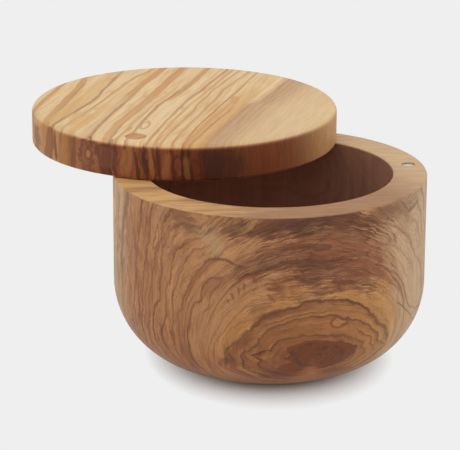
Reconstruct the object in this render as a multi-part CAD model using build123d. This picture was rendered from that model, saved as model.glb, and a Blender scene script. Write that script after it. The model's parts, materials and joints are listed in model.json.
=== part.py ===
from build123d import *
import os
from math import cos, radians, sin, sqrt

# Turned wooden salt box. The lid swivels level on one screw and shuts on a pair of magnets.
# Millimetres. The origin is the centre of the foot, +Z is up, and the pivot stands on -X.
# Every piece is made with the lid shut, and the lid's pieces are then turned to the drawn pose.

# Bowl, turned from one block
BOWL_RADIUS = 60.0  # outside of the straight wall
BOWL_HEIGHT = 73.5  # foot to rim
WALL = 13.0  # width of the flat rim
FLOOR = 12.0  # wood under the well
CORNER_RADIUS = 32.3  # arc from the straight wall down to the foot
FOOT_SETBACK = 24.9  # how far the foot's edge lies inside the straight wall
WELL_CORNER_RADIUS = 20.0  # arc between the well's wall and its floor
RIM_EDGE = 0.6  # softened outer and inner edges of the rim
FOOT_EDGE = 1.0  # softened edge where the arc meets the foot

# Lid, a plain disc a little wider than the bowl
LID_OVERHANG = 0.5
LID_THICKNESS = 14.0
LID_TOP_EDGE = 2.5
LID_BOTTOM_EDGE = 0.8
LID_OPEN_ANGLE = 65.5  # degrees from shut, anticlockwise seen from above

# Pivot: a wood screw with a smooth shank, sunk in the lid under a wooden plug
PIVOT_INBOARD = 2.25  # from the middle of the rim, towards the well
SHANK_RADIUS = 2.0
SHANK_IN_RIM = 3.0  # smooth shank below the top of the rim
TURNING_CLEARANCE = 0.08  # shank to the hole that turns on it, on the radius
THREAD_ROOT_RADIUS = 1.35
THREAD_PITCH = 1.8
THREAD_LENGTH = 16.0
THREAD_BASE_WIDTH = 1.15
THREAD_CREST_WIDTH = 0.25
THREAD_SINK = 0.15  # how far the ridge reaches into the core that carries it
TIP_LENGTH = 3.0
TIP_RADIUS = 0.1
PILOT_SPARE = 1.0  # pilot hole below the screw's tip
HEAD_HEIGHT = 2.4
HEAD_EDGE = 0.8
HEAD_SIDE_GAP = 0.65  # head to the wall of its pocket
DRIVE_WIDTH = 1.0  # each arm of the cross recess
DRIVE_SPAN = 4.2
DRIVE_DEPTH = 1.4
WASHER_BORE_CLEARANCE = 0.2  # on the radius
HEAD_WASHER_THICKNESS = 0.8
HEAD_WASHER_SIDE_GAP = 0.25  # washer to the wall of the pocket
SPACER_THICKNESS = 0.4  # thin washer that holds the lid clear of the rim
SPACER_INSET = 0.15  # spacer to the softened inner edge of the rim
PLUG_RADIUS = 4.0
PLUG_LENGTH = 4.2
PLUG_GLUE_GAP = 0.05  # on the radius
HEAD_TOP_GAP = 0.4  # screw head to the plug above it

# Catch: one disc magnet in the rim and one in the lid
CATCH_OUTBOARD = 0.75  # from the middle of the rim, away from the well
CATCH_ANGLE = 5.4  # degrees from +X, seen from above
MAGNET_RADIUS = 2.5
MAGNET_THICKNESS = 3.0
MAGNET_EDGE = 0.25
MAGNET_GLUE_GAP = 0.2  # on the radius
RIM_MAGNET_RECESS = 0.45
LID_MAGNET_RECESS = 0.4

# Worked out from the sizes above
MOUTH_RADIUS = BOWL_RADIUS - WALL
RIM_MIDDLE = BOWL_RADIUS - WALL / 2
FOOT_RADIUS = BOWL_RADIUS - FOOT_SETBACK
CORNER_TOP = sqrt(CORNER_RADIUS**2 - (CORNER_RADIUS - FOOT_SETBACK) ** 2)
LID_RADIUS = BOWL_RADIUS + LID_OVERHANG
LID_BASE = BOWL_HEIGHT + SPACER_THICKNESS
LID_TOP = LID_BASE + LID_THICKNESS
PIVOT_X = PIVOT_INBOARD - RIM_MIDDLE
TURNING_HOLE_RADIUS = SHANK_RADIUS + TURNING_CLEARANCE
WASHER_BORE_RADIUS = SHANK_RADIUS + WASHER_BORE_CLEARANCE
POCKET_RADIUS = PLUG_RADIUS + PLUG_GLUE_GAP
POCKET_FLOOR = LID_TOP - PLUG_LENGTH - HEAD_TOP_GAP - HEAD_HEIGHT - HEAD_WASHER_THICKNESS
HEAD_BASE = POCKET_FLOOR + HEAD_WASHER_THICKNESS
HEAD_TOP = HEAD_BASE + HEAD_HEIGHT
HEAD_RADIUS = POCKET_RADIUS - HEAD_SIDE_GAP
HEAD_WASHER_RADIUS = POCKET_RADIUS - HEAD_WASHER_SIDE_GAP
SPACER_RADIUS = WALL / 2 - PIVOT_INBOARD - RIM_EDGE - SPACER_INSET
SHANK_END = BOWL_HEIGHT - SHANK_IN_RIM
THREAD_END = SHANK_END - THREAD_LENGTH
SCREW_TIP = THREAD_END - TIP_LENGTH
CATCH_RADIUS = RIM_MIDDLE + CATCH_OUTBOARD
CATCH_X = CATCH_RADIUS * cos(radians(CATCH_ANGLE))
CATCH_Y = CATCH_RADIUS * sin(radians(CATCH_ANGLE))
MAGNET_HOLE_RADIUS = MAGNET_RADIUS + MAGNET_GLUE_GAP
RIM_MAGNET_BASE = BOWL_HEIGHT - RIM_MAGNET_RECESS - MAGNET_THICKNESS
LID_MAGNET_BASE = LID_BASE + LID_MAGNET_RECESS


def rod(radius, low, high, x=0.0, y=0.0):
    """An upright cylinder between two heights."""
    return Pos(x, y, low) * Cylinder(radius, high - low, align=(Align.CENTER, Align.CENTER, Align.MIN))


def ring_edges(solid, radius, height):
    """The round edges of one radius at one height."""
    margin = 0.01
    circles = solid.edges().filter_by(GeomType.CIRCLE)
    level = circles.filter_by_position(Axis.Z, height - margin, height + margin)
    return [edge for edge in level if abs(edge.radius - radius) < margin]


def bowl():
    """A straight wall on a large corner arc, hollowed to an even wall, with pilot and magnet holes."""
    well_corner_top = FLOOR + WELL_CORNER_RADIUS
    well_floor_radius = MOUTH_RADIUS - WELL_CORNER_RADIUS
    outline = [
        Line((0, 0), (FOOT_RADIUS, 0)),
        RadiusArc((FOOT_RADIUS, 0), (BOWL_RADIUS, CORNER_TOP), -CORNER_RADIUS),
        Line((BOWL_RADIUS, CORNER_TOP), (BOWL_RADIUS, BOWL_HEIGHT)),
        Line((BOWL_RADIUS, BOWL_HEIGHT), (MOUTH_RADIUS, BOWL_HEIGHT)),
        Line((MOUTH_RADIUS, BOWL_HEIGHT), (MOUTH_RADIUS, well_corner_top)),
        RadiusArc((MOUTH_RADIUS, well_corner_top), (well_floor_radius, FLOOR), WELL_CORNER_RADIUS),
        Line((well_floor_radius, FLOOR), (0, FLOOR)),
        Line((0, FLOOR), (0, 0)),
    ]
    block = revolve(Plane.XZ * make_face(outline), Axis.Z)
    rim_edges = ring_edges(block, BOWL_RADIUS, BOWL_HEIGHT) + ring_edges(block, MOUTH_RADIUS, BOWL_HEIGHT)
    block = fillet(rim_edges, RIM_EDGE)
    block = fillet(ring_edges(block, FOOT_RADIUS, 0), FOOT_EDGE)
    block -= rod(TURNING_HOLE_RADIUS, SHANK_END, BOWL_HEIGHT, PIVOT_X)
    block -= rod(THREAD_ROOT_RADIUS, SCREW_TIP - PILOT_SPARE, SHANK_END, PIVOT_X)
    block -= rod(MAGNET_HOLE_RADIUS, RIM_MAGNET_BASE, BOWL_HEIGHT, CATCH_X, CATCH_Y)
    return block


def lid():
    """A disc with a round top edge, the turning hole with its pocket, and a magnet hole beneath."""
    disc = rod(LID_RADIUS, LID_BASE, LID_TOP)
    disc = fillet(ring_edges(disc, LID_RADIUS, LID_TOP), LID_TOP_EDGE)
    disc = fillet(ring_edges(disc, LID_RADIUS, LID_BASE), LID_BOTTOM_EDGE)
    disc -= rod(TURNING_HOLE_RADIUS, LID_BASE, LID_TOP, PIVOT_X)
    disc -= rod(POCKET_RADIUS, POCKET_FLOOR, LID_TOP, PIVOT_X)
    disc -= rod(MAGNET_HOLE_RADIUS, LID_BASE, LID_MAGNET_BASE + MAGNET_THICKNESS, CATCH_X, CATCH_Y)
    return disc


def thread():
    """One helical ridge on the core of the screw."""
    root = THREAD_ROOT_RADIUS - THREAD_SINK
    depth = SHANK_RADIUS - root
    half_base = THREAD_BASE_WIDTH / 2
    half_crest = THREAD_CREST_WIDTH / 2
    path = Helix(THREAD_PITCH, THREAD_LENGTH - THREAD_BASE_WIDTH, root)
    corners = [(0, -half_base), (depth, -half_crest), (depth, half_crest), (0, half_base)]
    start = Plane(origin=path @ 0, x_dir=(1, 0, 0), z_dir=(0, -1, 0))
    ridge = sweep(start * Polygon(*corners, align=None), path, is_frenet=True)
    return Pos(PIVOT_X, 0, THREAD_END + half_base) * ridge


def pivot_screw():
    """A head with a cross recess, a smooth shank, a coarse thread and a point."""
    head = rod(HEAD_RADIUS, HEAD_BASE, HEAD_TOP, PIVOT_X)
    head = fillet(ring_edges(head, HEAD_RADIUS, HEAD_TOP), HEAD_EDGE)
    recess_middle = Pos(PIVOT_X, 0, HEAD_TOP - DRIVE_DEPTH / 2)
    head -= recess_middle * Box(DRIVE_SPAN, DRIVE_WIDTH, DRIVE_DEPTH)
    head -= recess_middle * Box(DRIVE_WIDTH, DRIVE_SPAN, DRIVE_DEPTH)
    shank = rod(SHANK_RADIUS, SHANK_END, HEAD_BASE, PIVOT_X)
    core = rod(THREAD_ROOT_RADIUS, THREAD_END, SHANK_END, PIVOT_X)
    tip = Pos(PIVOT_X, 0, THREAD_END - TIP_LENGTH / 2) * Cone(TIP_RADIUS, THREAD_ROOT_RADIUS, TIP_LENGTH)
    return head + shank + core + tip + thread()


def washer(radius, low, thickness):
    """A flat ring on the pivot's axis."""
    return rod(radius, low, low + thickness, PIVOT_X) - rod(WASHER_BORE_RADIUS, low, low + thickness, PIVOT_X)


def pivot_plug():
    """A wooden plug, flush with the top of the lid."""
    return rod(PLUG_RADIUS, LID_TOP - PLUG_LENGTH, LID_TOP, PIVOT_X)


def magnet(low):
    """A disc magnet with softened edges, at the catch."""
    disc = rod(MAGNET_RADIUS, low, low + MAGNET_THICKNESS, CATCH_X, CATCH_Y)
    return chamfer(disc.edges().filter_by(GeomType.CIRCLE), MAGNET_EDGE)


def opened(piece):
    """A piece of the lid, turned about the pivot from shut to the drawn pose."""
    return piece.rotate(Axis((PIVOT_X, 0, 0), (0, 0, 1)), LID_OPEN_ANGLE)


def main():
    """Write one STEP file for each piece."""
    pieces = {
        "bowl": bowl(),
        "rim_magnet": magnet(RIM_MAGNET_BASE),
        "spacer_washer": washer(SPACER_RADIUS, BOWL_HEIGHT, SPACER_THICKNESS),
        "pivot_screw": pivot_screw(),
        "lid": opened(lid()),
        "lid_magnet": opened(magnet(LID_MAGNET_BASE)),
        "head_washer": opened(washer(HEAD_WASHER_RADIUS, POCKET_FLOOR, HEAD_WASHER_THICKNESS)),
        "pivot_plug": opened(pivot_plug()),
    }
    os.makedirs("parts", exist_ok=True)
    for name, piece in pieces.items():
        export_step(piece, f"parts/{name}.step")


main()
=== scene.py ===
"""Looks of a turned olive wood salt box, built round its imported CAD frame.

The bowl and the lid are turned shapes, so a Geometry Nodes lathe makes them from their half sections,
and the pivot's screw gets its thread from a Geometry Nodes sweep. Everything is in metres, in the CAD frame.
"""

import json
import logging
import math
from dataclasses import dataclass
from enum import Enum
from typing import Any, Iterable, Sequence

import bpy
from mathutils import Matrix, Vector

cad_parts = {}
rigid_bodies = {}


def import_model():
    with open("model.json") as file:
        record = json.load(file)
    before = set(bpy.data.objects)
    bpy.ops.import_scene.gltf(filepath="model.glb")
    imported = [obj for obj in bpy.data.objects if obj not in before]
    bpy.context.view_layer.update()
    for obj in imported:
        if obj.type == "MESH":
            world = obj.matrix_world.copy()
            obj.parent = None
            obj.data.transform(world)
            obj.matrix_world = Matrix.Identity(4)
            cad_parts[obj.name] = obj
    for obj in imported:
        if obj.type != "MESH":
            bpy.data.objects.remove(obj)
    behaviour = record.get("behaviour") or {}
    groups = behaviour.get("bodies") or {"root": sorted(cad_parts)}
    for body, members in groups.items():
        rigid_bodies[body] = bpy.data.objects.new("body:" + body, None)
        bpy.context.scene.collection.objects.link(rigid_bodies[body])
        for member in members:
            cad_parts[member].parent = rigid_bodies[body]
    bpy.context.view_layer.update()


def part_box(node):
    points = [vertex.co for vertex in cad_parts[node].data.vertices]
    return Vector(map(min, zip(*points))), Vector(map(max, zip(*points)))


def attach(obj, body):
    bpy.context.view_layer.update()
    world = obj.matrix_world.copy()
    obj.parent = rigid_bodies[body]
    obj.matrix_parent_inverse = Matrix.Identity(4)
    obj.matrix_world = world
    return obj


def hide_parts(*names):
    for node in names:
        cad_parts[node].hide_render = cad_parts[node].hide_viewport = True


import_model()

MM = 0.001
LOG = logging.getLogger("salt_box")


class Body(Enum):
    """The rigid bodies of the box."""

    BASE = "base"
    LID = "lid"


class Slot(Enum):
    """The record's material slots."""

    BOWL_WOOD = "bowl_wood"
    LID_WOOD = "lid_wood"
    PLUG_WOOD = "plug_wood"
    STEEL = "screw_steel"
    BRASS = "washer_brass"
    NYLON = "washer_nylon"
    NICKEL = "magnet_nickel"


def linear(colour: str) -> tuple[float, float, float, float]:
    """Turn an sRGB hex colour to linear light.

    Args:
        colour: Six hex digits, such as "C8A070".

    Returns:
        Linear red, green and blue, with an alpha of 1.
    """
    parts = [int(colour[i : i + 2], 16) / 255 for i in (0, 2, 4)]
    light = [p / 12.92 if p <= 0.04045 else ((p + 0.055) / 1.055) ** 2.4 for p in parts]
    return light[0], light[1], light[2], 1.0


def towards(azimuth: float, elevation: float) -> Vector:
    """The way from the box to something.

    Args:
        azimuth: Degrees from straight in front towards the right.
        elevation: Degrees above the horizon.

    Returns:
        A vector of length 1.
    """
    a, e = math.radians(azimuth), math.radians(elevation)
    return Vector((math.sin(a) * math.cos(e), -math.cos(a) * math.cos(e), math.sin(e)))


def stand(name: str, data: bpy.types.ID) -> bpy.types.Object:
    """Put a new object into the scene.

    Args:
        name: Its name.
        data: Its mesh, lamp or camera.

    Returns:
        The object.
    """
    made = bpy.data.objects.new(name, data)
    bpy.context.scene.collection.objects.link(made)
    return made


class Tree:
    """A node tree that is being filled."""

    def __init__(self, tree: bpy.types.NodeTree) -> None:
        """Take a tree and empty it."""
        self.tree = tree
        tree.nodes.clear()

    def add(self, kind: str, inputs: dict[Any, Any] | None = None, **settings: Any) -> Any:
        """Add one node with its settings and links.

        Args:
            kind: The node's type. A shader node's leaves out the word ShaderNode.
            inputs: Socket name or number to a constant, or to the output socket that feeds it.
            settings: Properties of the node.

        Returns:
            The node's first enabled output socket, or the node itself where it has none.
        """
        node = self.tree.nodes.new(kind if "Node" in kind else f"ShaderNode{kind}")
        for name, value in settings.items():
            setattr(node, name, value)
        for key, value in (inputs or {}).items():
            socket = node.inputs[key]
            if isinstance(value, bpy.types.NodeSocket):
                self.tree.links.new(value, socket)
            else:
                socket.default_value = value
        outputs = [socket for socket in node.outputs if socket.enabled]
        return outputs[0] if outputs else node


# ---------------------------------------------------------------- Turned shapes


@dataclass(frozen=True)
class Corner:
    """A corner of a half section, in millimetres from the axis and from the foot."""

    radius: float
    height: float
    round: float = 0.0


@dataclass(frozen=True)
class Space:
    """The round upright space that a CAD node takes up, in millimetres, and its middle, in metres."""

    middle: Vector
    radius: float
    bottom: float
    top: float

    @classmethod
    def of(cls, node: str) -> "Space":
        """Measure a CAD node."""
        low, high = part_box(node)
        return cls((low + high) / 2, (high.x - low.x) / 2 / MM, low.z / MM, high.z / MM)

    def disc(self, lower: float, upper: float) -> list[Corner]:
        """The half section of a disc that fills the space.

        Args:
            lower: Radius of its lower edge.
            upper: Radius of its upper edge.

        Returns:
            Its corners.
        """
        return [
            Corner(0, self.bottom),
            Corner(self.radius, self.bottom, lower),
            Corner(self.radius, self.top, upper),
            Corner(0, self.top),
        ]


def arc(centre: Sequence[float], radius: float, start: float, end: float, steps: int) -> list[Corner]:
    """Points along an arc of a half section.

    Args:
        centre: Distance from the axis, and height.
        radius: Radius of the arc.
        start: First angle in radians, from straight outwards towards up.
        end: Last angle.
        steps: How many spans the arc has.

    Returns:
        One plain corner for each point.
    """
    turns = [start + (end - start) * i / steps for i in range(steps + 1)]
    return [Corner(centre[0] + radius * math.cos(t), centre[1] + radius * math.sin(t)) for t in turns]


def rounded(corners: Sequence[Corner], steps: int = 10, hold: float = 0.25) -> list[Vector]:
    """Round the corners of a half section that ask for it.

    A holding point stands a little way off each end of a rounding, which keeps the flats beside it flat
    where they are shaded smooth.

    Args:
        corners: The section's corners in order.
        steps: Spans in each rounding.
        hold: Distance from a rounding's end to its holding point, in millimetres.

    Returns:
        Points in millimetres, x from the axis and z from the foot.
    """
    points: list[Vector] = []
    for i, corner in enumerate(corners):
        here = Vector((corner.radius, 0, corner.height))
        if not corner.round:
            points.append(here)
            continue
        before = corners[i - 1]
        after = corners[i + 1]
        to_before = (Vector((before.radius, 0, before.height)) - here).normalized()
        to_after = (Vector((after.radius, 0, after.height)) - here).normalized()
        half = to_before.angle(to_after) / 2
        reach = corner.round / math.tan(half)
        middle = here + (to_before + to_after).normalized() * corner.round / math.sin(half)
        start = (here + to_before * reach - middle).normalized()
        end = (here + to_after * reach - middle).normalized()
        points.append(here + to_before * (reach + hold))
        points += [middle + start.slerp(end, s / steps) * corner.round for s in range(steps + 1)]
        points.append(here + to_after * (reach + hold))
    return points


# The kinds of value that a tool's tree takes in
SOCKETS = {
    int: "NodeSocketInt",
    float: "NodeSocketFloat",
    Vector: "NodeSocketVector",
    bpy.types.Object: "NodeSocketObject",
    bpy.types.Mesh: "NodeSocketGeometry",
    bpy.types.Material: "NodeSocketMaterial",
}


class NodeTool(Tree):
    """A Geometry Nodes tree with named inputs, used as a modifier and then applied."""

    crease = math.radians(32)

    def __init__(self, **inputs: type) -> None:
        """Make the tree with its inputs.

        Args:
            inputs: Name of each input to the type of its value. The geometry and the material are added here.
        """
        super().__init__(bpy.data.node_groups.new(type(self).__name__, "GeometryNodeTree"))
        face = self.tree.interface
        self.ids: dict[str, str] = {}
        for label, kind in {"Geometry": bpy.types.Mesh, **inputs, "Material": bpy.types.Material}.items():
            made = face.new_socket(name=label, in_out="INPUT", socket_type=SOCKETS[kind])
            self.ids[label] = made.identifier
        face.new_socket(name="Geometry", in_out="OUTPUT", socket_type=SOCKETS[bpy.types.Mesh])
        self.given = self.add("NodeGroupInput").node.outputs

    def close(self, shape: Any) -> None:
        """Shade the shape smooth but for its creases, realize it, set the material and join the output.

        Args:
            shape: The geometry's socket.
        """
        smooth = self.add("GeometryNodeSetShadeSmooth", {"Geometry": shape}, domain="FACE")
        turn = self.add("GeometryNodeInputMeshEdgeAngle")
        turned = {0: turn, 1: self.crease}
        sharp = self.add("FunctionNodeCompare", turned, data_type="FLOAT", operation="GREATER_THAN")
        edges = {"Geometry": smooth, "Selection": sharp, "Shade Smooth": False}
        creased = self.add("GeometryNodeSetShadeSmooth", edges, domain="EDGE")
        real = self.add("GeometryNodeRealizeInstances", {"Geometry": creased})
        dressed = self.add("GeometryNodeSetMaterial", {"Geometry": real, "Material": self.given["Material"]})
        self.add("NodeGroupOutput", {"Geometry": dressed})

    def apply(
        self, piece: bpy.types.Object, material: bpy.types.Material | None = None, **values: Any
    ) -> None:
        """Run the tree on a piece and keep the result as its plain mesh.

        Args:
            piece: The object to work on.
            material: Its material, or nothing where it keeps the one that it has.
            values: Input values.
        """
        values["Material"] = material or piece.data.materials[0]
        modifier = piece.modifiers.new(self.tree.name, "NODES")
        modifier.node_group = self.tree
        for name, value in values.items():
            modifier[self.ids[name]] = value
        bpy.context.view_layer.update()
        made = bpy.data.meshes.new_from_object(piece.evaluated_get(bpy.context.evaluated_depsgraph_get()))
        piece.modifiers.remove(modifier)
        made.materials.clear()
        made.materials.append(values["Material"])
        made.polygons.foreach_set("material_index", [0] * len(made.polygons))
        piece.data = made
        made.name = piece.name


class Lathe(NodeTool):
    """Turns a half section about an upright axis, once round or up a screw's helix."""

    run_in = 0.03
    weld = 1e-6

    def __init__(self) -> None:
        """Build the tree."""
        super().__init__(Segments=int, Centre=Vector, Turns=float, Rise=float, Ends=float)
        section = self.given["Geometry"]
        size = self.add("GeometryNodeAttributeDomainSize", {0: section}, component="MESH")
        columns = self.add("Math", {0: self.given["Segments"], 1: 1.0}, operation="ADD")
        sizes = {"Size X": 1.0, "Size Y": 1.0, "Vertices X": columns, "Vertices Y": size}
        grid = self.add("GeometryNodeMeshGrid", sizes)
        x, y, _ = self.add("SeparateXYZ", {0: self.add("GeometryNodeInputPosition")}).node.outputs
        last = self.add("Math", {0: size, 1: 1.0}, operation="SUBTRACT")
        row = self.add("Math", {0: y, 1: 0.5}, operation="ADD")
        row = self.add("Math", {0: row, 1: last}, operation="MULTIPLY")
        row = self.add("Math", {0: row}, operation="ROUND")
        gone = self.add("Math", {0: x, 1: 0.5}, operation="ADD")
        turn = self.add("Math", {0: gone, 1: self.given["Turns"]}, operation="MULTIPLY")
        turn = self.add("Math", {0: turn, 1: math.tau}, operation="MULTIPLY")
        # Near both ends the section shrinks towards its first point, as far as Ends says
        left = self.add("Math", {0: 1.0, 1: gone}, operation="SUBTRACT")
        left = self.add("Math", {0: gone, 1: left}, operation="MINIMUM")
        swell = self.add("MapRange", {"Value": left, "From Max": self.run_in, "To Min": self.given["Ends"]})
        ends = {0: swell, 4: self.corner(section, 0), 5: self.corner(section, row)}
        x, _, z = self.add("SeparateXYZ", {0: self.add("Mix", ends, data_type="VECTOR")}).node.outputs
        flat = self.add("CombineXYZ", {0: x, 2: z})
        spun = self.add("VectorRotate", {"Vector": flat, "Angle": turn}, rotation_type="Z_AXIS")
        lift = self.add("Math", {0: gone, 1: self.given["Rise"]}, operation="MULTIPLY")
        placed = self.add("VectorMath", {0: spun, 1: self.given["Centre"]}, operation="ADD")
        placed = self.add("VectorMath", {0: placed, 1: self.add("CombineXYZ", {2: lift})}, operation="ADD")
        turned = self.add("GeometryNodeSetPosition", {"Geometry": grid, "Position": placed})
        self.close(self.add("GeometryNodeMergeByDistance", {"Geometry": turned, "Distance": self.weld}))

    def corner(self, section: Any, index: Any) -> Any:
        """The place of one point of the section.

        Args:
            section: The section's socket.
            index: Number of the point, or its socket.

        Returns:
            The place's socket.
        """
        inputs = {0: section, "Value": self.add("GeometryNodeInputPosition"), "Index": index}
        return self.add("GeometryNodeSampleIndex", inputs, data_type="FLOAT_VECTOR", domain="POINT")

    def turn(
        self,
        name: str,
        section: Sequence[Vector],
        axis: Vector,
        material: bpy.types.Material,
        segments: int = 256,
        foot: float = 0.0,
        turns: float = 1.0,
        rise: float = 0.0,
        ends: float = 1.0,
    ) -> bpy.types.Object:
        """Turn a piece.

        Args:
            name: The piece's name.
            section: Points of the half section, in millimetres.
            axis: A point on the upright axis, in metres.
            material: The piece's material.
            segments: Spans round the piece.
            foot: Height that the section is measured from, in millimetres.
            turns: How many times the section goes round.
            rise: How far it climbs while it does, in millimetres.
            ends: Size of the section at both ends, as a share of its full size.

        Returns:
            The finished piece.
        """
        piece = outline(name, section)
        centre = (axis.x, axis.y, foot * MM)
        self.apply(piece, material, Segments=segments, Centre=centre, Turns=turns, Rise=rise * MM, Ends=ends)
        return piece

    def disc(self, name: str, space: Space, edge: float, material: bpy.types.Material) -> bpy.types.Object:
        """Turn a small disc.

        Args:
            name: The piece's name.
            space: The space that it fills.
            edge: Radius of both its edges, in millimetres.
            material: Its material.

        Returns:
            The finished piece.
        """
        section = rounded(space.disc(edge, edge), steps=5, hold=0.1)
        return self.turn(name, section, space.middle, material, segments=96)


class Cutter(NodeTool):
    """A tool that cuts a shape out of a piece, which keeps its material."""

    def cut_away(self, shape: Any) -> None:
        """Cut the shape out, and end the tree."""
        meshes = {"Mesh 1": self.given["Geometry"], "Mesh 2": shape}
        self.close(self.add("GeometryNodeMeshBoolean", meshes, operation="DIFFERENCE", solver="EXACT"))


class Drill(Cutter):
    """Drills a round hole from its mouth, up or down."""

    proud = 0.5 * MM
    sides = 64

    def __init__(self) -> None:
        """Build the tree."""
        super().__init__(Radius=float, Depth=float, Mouth=Vector, Direction=float)
        long = self.add("Math", {0: self.given["Depth"], 1: self.proud}, operation="ADD")
        sizes = {"Vertices": self.sides, "Radius": self.given["Radius"], "Depth": long}
        bit = self.add("GeometryNodeMeshCylinder", sizes)
        sunk = self.add("Math", {0: long, 1: 2.0}, operation="DIVIDE")
        sunk = self.add("Math", {0: sunk, 1: self.proud}, operation="SUBTRACT")
        sunk = self.add("Math", {0: sunk, 1: self.given["Direction"]}, operation="MULTIPLY")
        down = self.add("CombineXYZ", {2: sunk})
        place = self.add("VectorMath", {0: self.given["Mouth"], 1: down}, operation="ADD")
        self.cut_away(self.add("GeometryNodeTransform", {"Geometry": bit, "Translation": place}))

    def bore(
        self,
        piece: bpy.types.Object,
        axis: Vector,
        mouth: float,
        radius: float,
        depth: float,
        up: bool = False,
    ) -> None:
        """Drill a hole.

        Args:
            piece: The piece to drill.
            axis: A point on the hole's upright axis, in metres.
            mouth: Height of the hole's mouth, in millimetres.
            radius: The hole's radius, in millimetres.
            depth: Its depth, in millimetres.
            up: Whether it goes up from its mouth, not down.
        """
        sizes = {"Radius": radius * MM, "Depth": depth * MM, "Mouth": (axis.x, axis.y, mouth * MM)}
        self.apply(piece, **sizes, Direction=1.0 if up else -1.0)


class Mill(Cutter):
    """Cuts a square-cornered slot."""

    def __init__(self) -> None:
        """Build the tree."""
        super().__init__(Size=Vector, Middle=Vector)
        block = self.add("GeometryNodeMeshCube", {"Size": self.given["Size"]})
        moved = {"Geometry": block, "Translation": self.given["Middle"]}
        self.cut_away(self.add("GeometryNodeTransform", moved))

    def cut(self, piece: bpy.types.Object, middle: Sequence[float], size: Sequence[float]) -> None:
        """Cut a slot with that middle and size, both in metres."""
        self.apply(piece, Size=tuple(size), Middle=tuple(middle))


class Welder(NodeTool):
    """Makes two overlapping pieces one."""

    def __init__(self) -> None:
        """Build the tree."""
        super().__init__(Other=bpy.types.Object)
        other = self.add("GeometryNodeObjectInfo", {"Object": self.given["Other"]}).node.outputs["Geometry"]
        meshes = {"Mesh 2": self.given["Geometry"]}
        union = self.add("GeometryNodeMeshBoolean", meshes, operation="UNION", solver="EXACT")
        self.tree.links.new(other, union.node.inputs["Mesh 2"])
        self.close(union)

    def join(self, piece: bpy.types.Object, other: bpy.types.Object) -> None:
        """Make the other piece part of this one."""
        self.apply(piece, Other=other)
        bpy.data.objects.remove(other)


class Workshop:
    """The tools that the pieces are made with."""

    def __init__(self) -> None:
        """Set up each tool once."""
        self.lathe = Lathe()
        self.drill = Drill()
        self.mill = Mill()
        self.welder = Welder()


def outline(name: str, points: Iterable[Vector]) -> bpy.types.Object:
    """Make a piece whose mesh is only a line.

    Args:
        name: The piece's name.
        points: Points of the line, in millimetres.

    Returns:
        The new object, in the scene.
    """
    corners = [point * MM for point in points]
    mesh = bpy.data.meshes.new(name)
    mesh.from_pydata(corners, [(i, i + 1) for i in range(len(corners) - 1)], [])
    return stand(name, mesh)


def settle(piece: bpy.types.Object, body: Body, node: str) -> None:
    """Give a finished piece what the frame knows of it, and report it.

    Args:
        piece: The piece.
        body: The body that it rides on.
        node: The CAD node that it stands for.
    """
    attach(piece, body.value)
    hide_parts(node)
    LOG.info("%s: %d faces, rides on %s", piece.name, len(piece.data.polygons), body.value)


# ---------------------------------------------------------------- Finishes


class Tone(Enum):
    """The colours of oiled olive wood, from its palest wood to its darkest lines."""

    CREAM = "E4C595"
    SAND = "D7B385"
    HONEY = "D3A465"
    TAN = "C7935A"
    ROSE = "C29A70"
    UMBER = "BA8048"
    PLUM = "AC7345"
    GOLD = "BC844C"
    AMBER = "AC7040"
    # Pale greyish wood; on the bowl's right it also stands for a painted sheen of the right lamp
    ASH = "CBA982"
    CLAY = "BC885B"
    RUST = "8C5235"
    COCOA = "7A462D"
    SMOKE = "78503A"
    BARK = "5F3726"
    HEART = "783F1D"
    DUSK = "4C281B"
    RIM_GOLD = "D1A36B"
    RIM_ROSE = "A27652"
    RIM_PALE = "CAA77E"
    # Partly the well's own brown, partly painted shade from the lid over it
    WELL = "A37563"


# A range that eases in and out and never leaves its two ends
EASED = {"interpolation_type": "SMOOTHSTEP", "clamp": False}


def centred(tree: Tree, middle: Vector, turn: Sequence[float] = (0.0, 0.0, 0.0)) -> Any:
    """The place in a piece.

    Args:
        tree: The material's tree.
        middle: The point that it is measured from, in metres.
        turn: How its axes are turned, in radians.

    Returns:
        The place's socket, in millimetres.
    """
    here = tree.add("TexCoord").node.outputs["Object"]
    inputs = {"Vector": here, "Location": middle, "Rotation": turn, "Scale": (MM, MM, MM)}
    return tree.add("Mapping", inputs, vector_type="TEXTURE")


def off_axis(tree: Tree, place: Any, shape: Sequence[float] = (1.0, 1.0, 0.0)) -> Any:
    """How far a place is from the upright axis that it is measured from.

    Args:
        tree: The material's tree.
        place: The place's socket.
        shape: How much each way counts.

    Returns:
        The distance's socket.
    """
    flat = tree.add("VectorMath", {0: place, 1: shape}, operation="MULTIPLY")
    return tree.add("VectorMath", {0: flat}, operation="LENGTH")


def drift(tree: Tree, where: Any, period: Sequence[float], reach: float, detail: float = 1.0) -> Any:
    """A smooth random value about zero, for warping and shading.

    Args:
        tree: The material's tree.
        where: Socket with the place, in millimetres.
        period: Size of one wave along each axis, in millimetres.
        reach: About the largest value.
        detail: Octaves of finer waves.

    Returns:
        The value's socket.
    """
    scaled = tree.add("Mapping", {"Vector": where, "Scale": [1 / p for p in period]})
    noise = tree.add("TexNoise", {"Vector": scaled, "Scale": 1.0, "Detail": detail})
    limits = {"Value": noise, "From Min": 0.25, "From Max": 0.75, "To Min": -reach, "To Max": reach}
    return tree.add("MapRange", limits, clamp=False)


def swayed(tree: Tree, value: Any, where: Any, sways: Iterable[Sequence[Any]]) -> Any:
    """A value pushed to and fro.

    Args:
        tree: The material's tree.
        value: Socket of the value, in millimetres.
        where: Socket with the place, in millimetres.
        sways: Period, reach and octaves of each drift that pushes it.

    Returns:
        The value's socket.
    """
    for sway in sways:
        value = tree.add("Math", {0: value, 1: drift(tree, where, *sway)}, operation="ADD")
    return value


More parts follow.
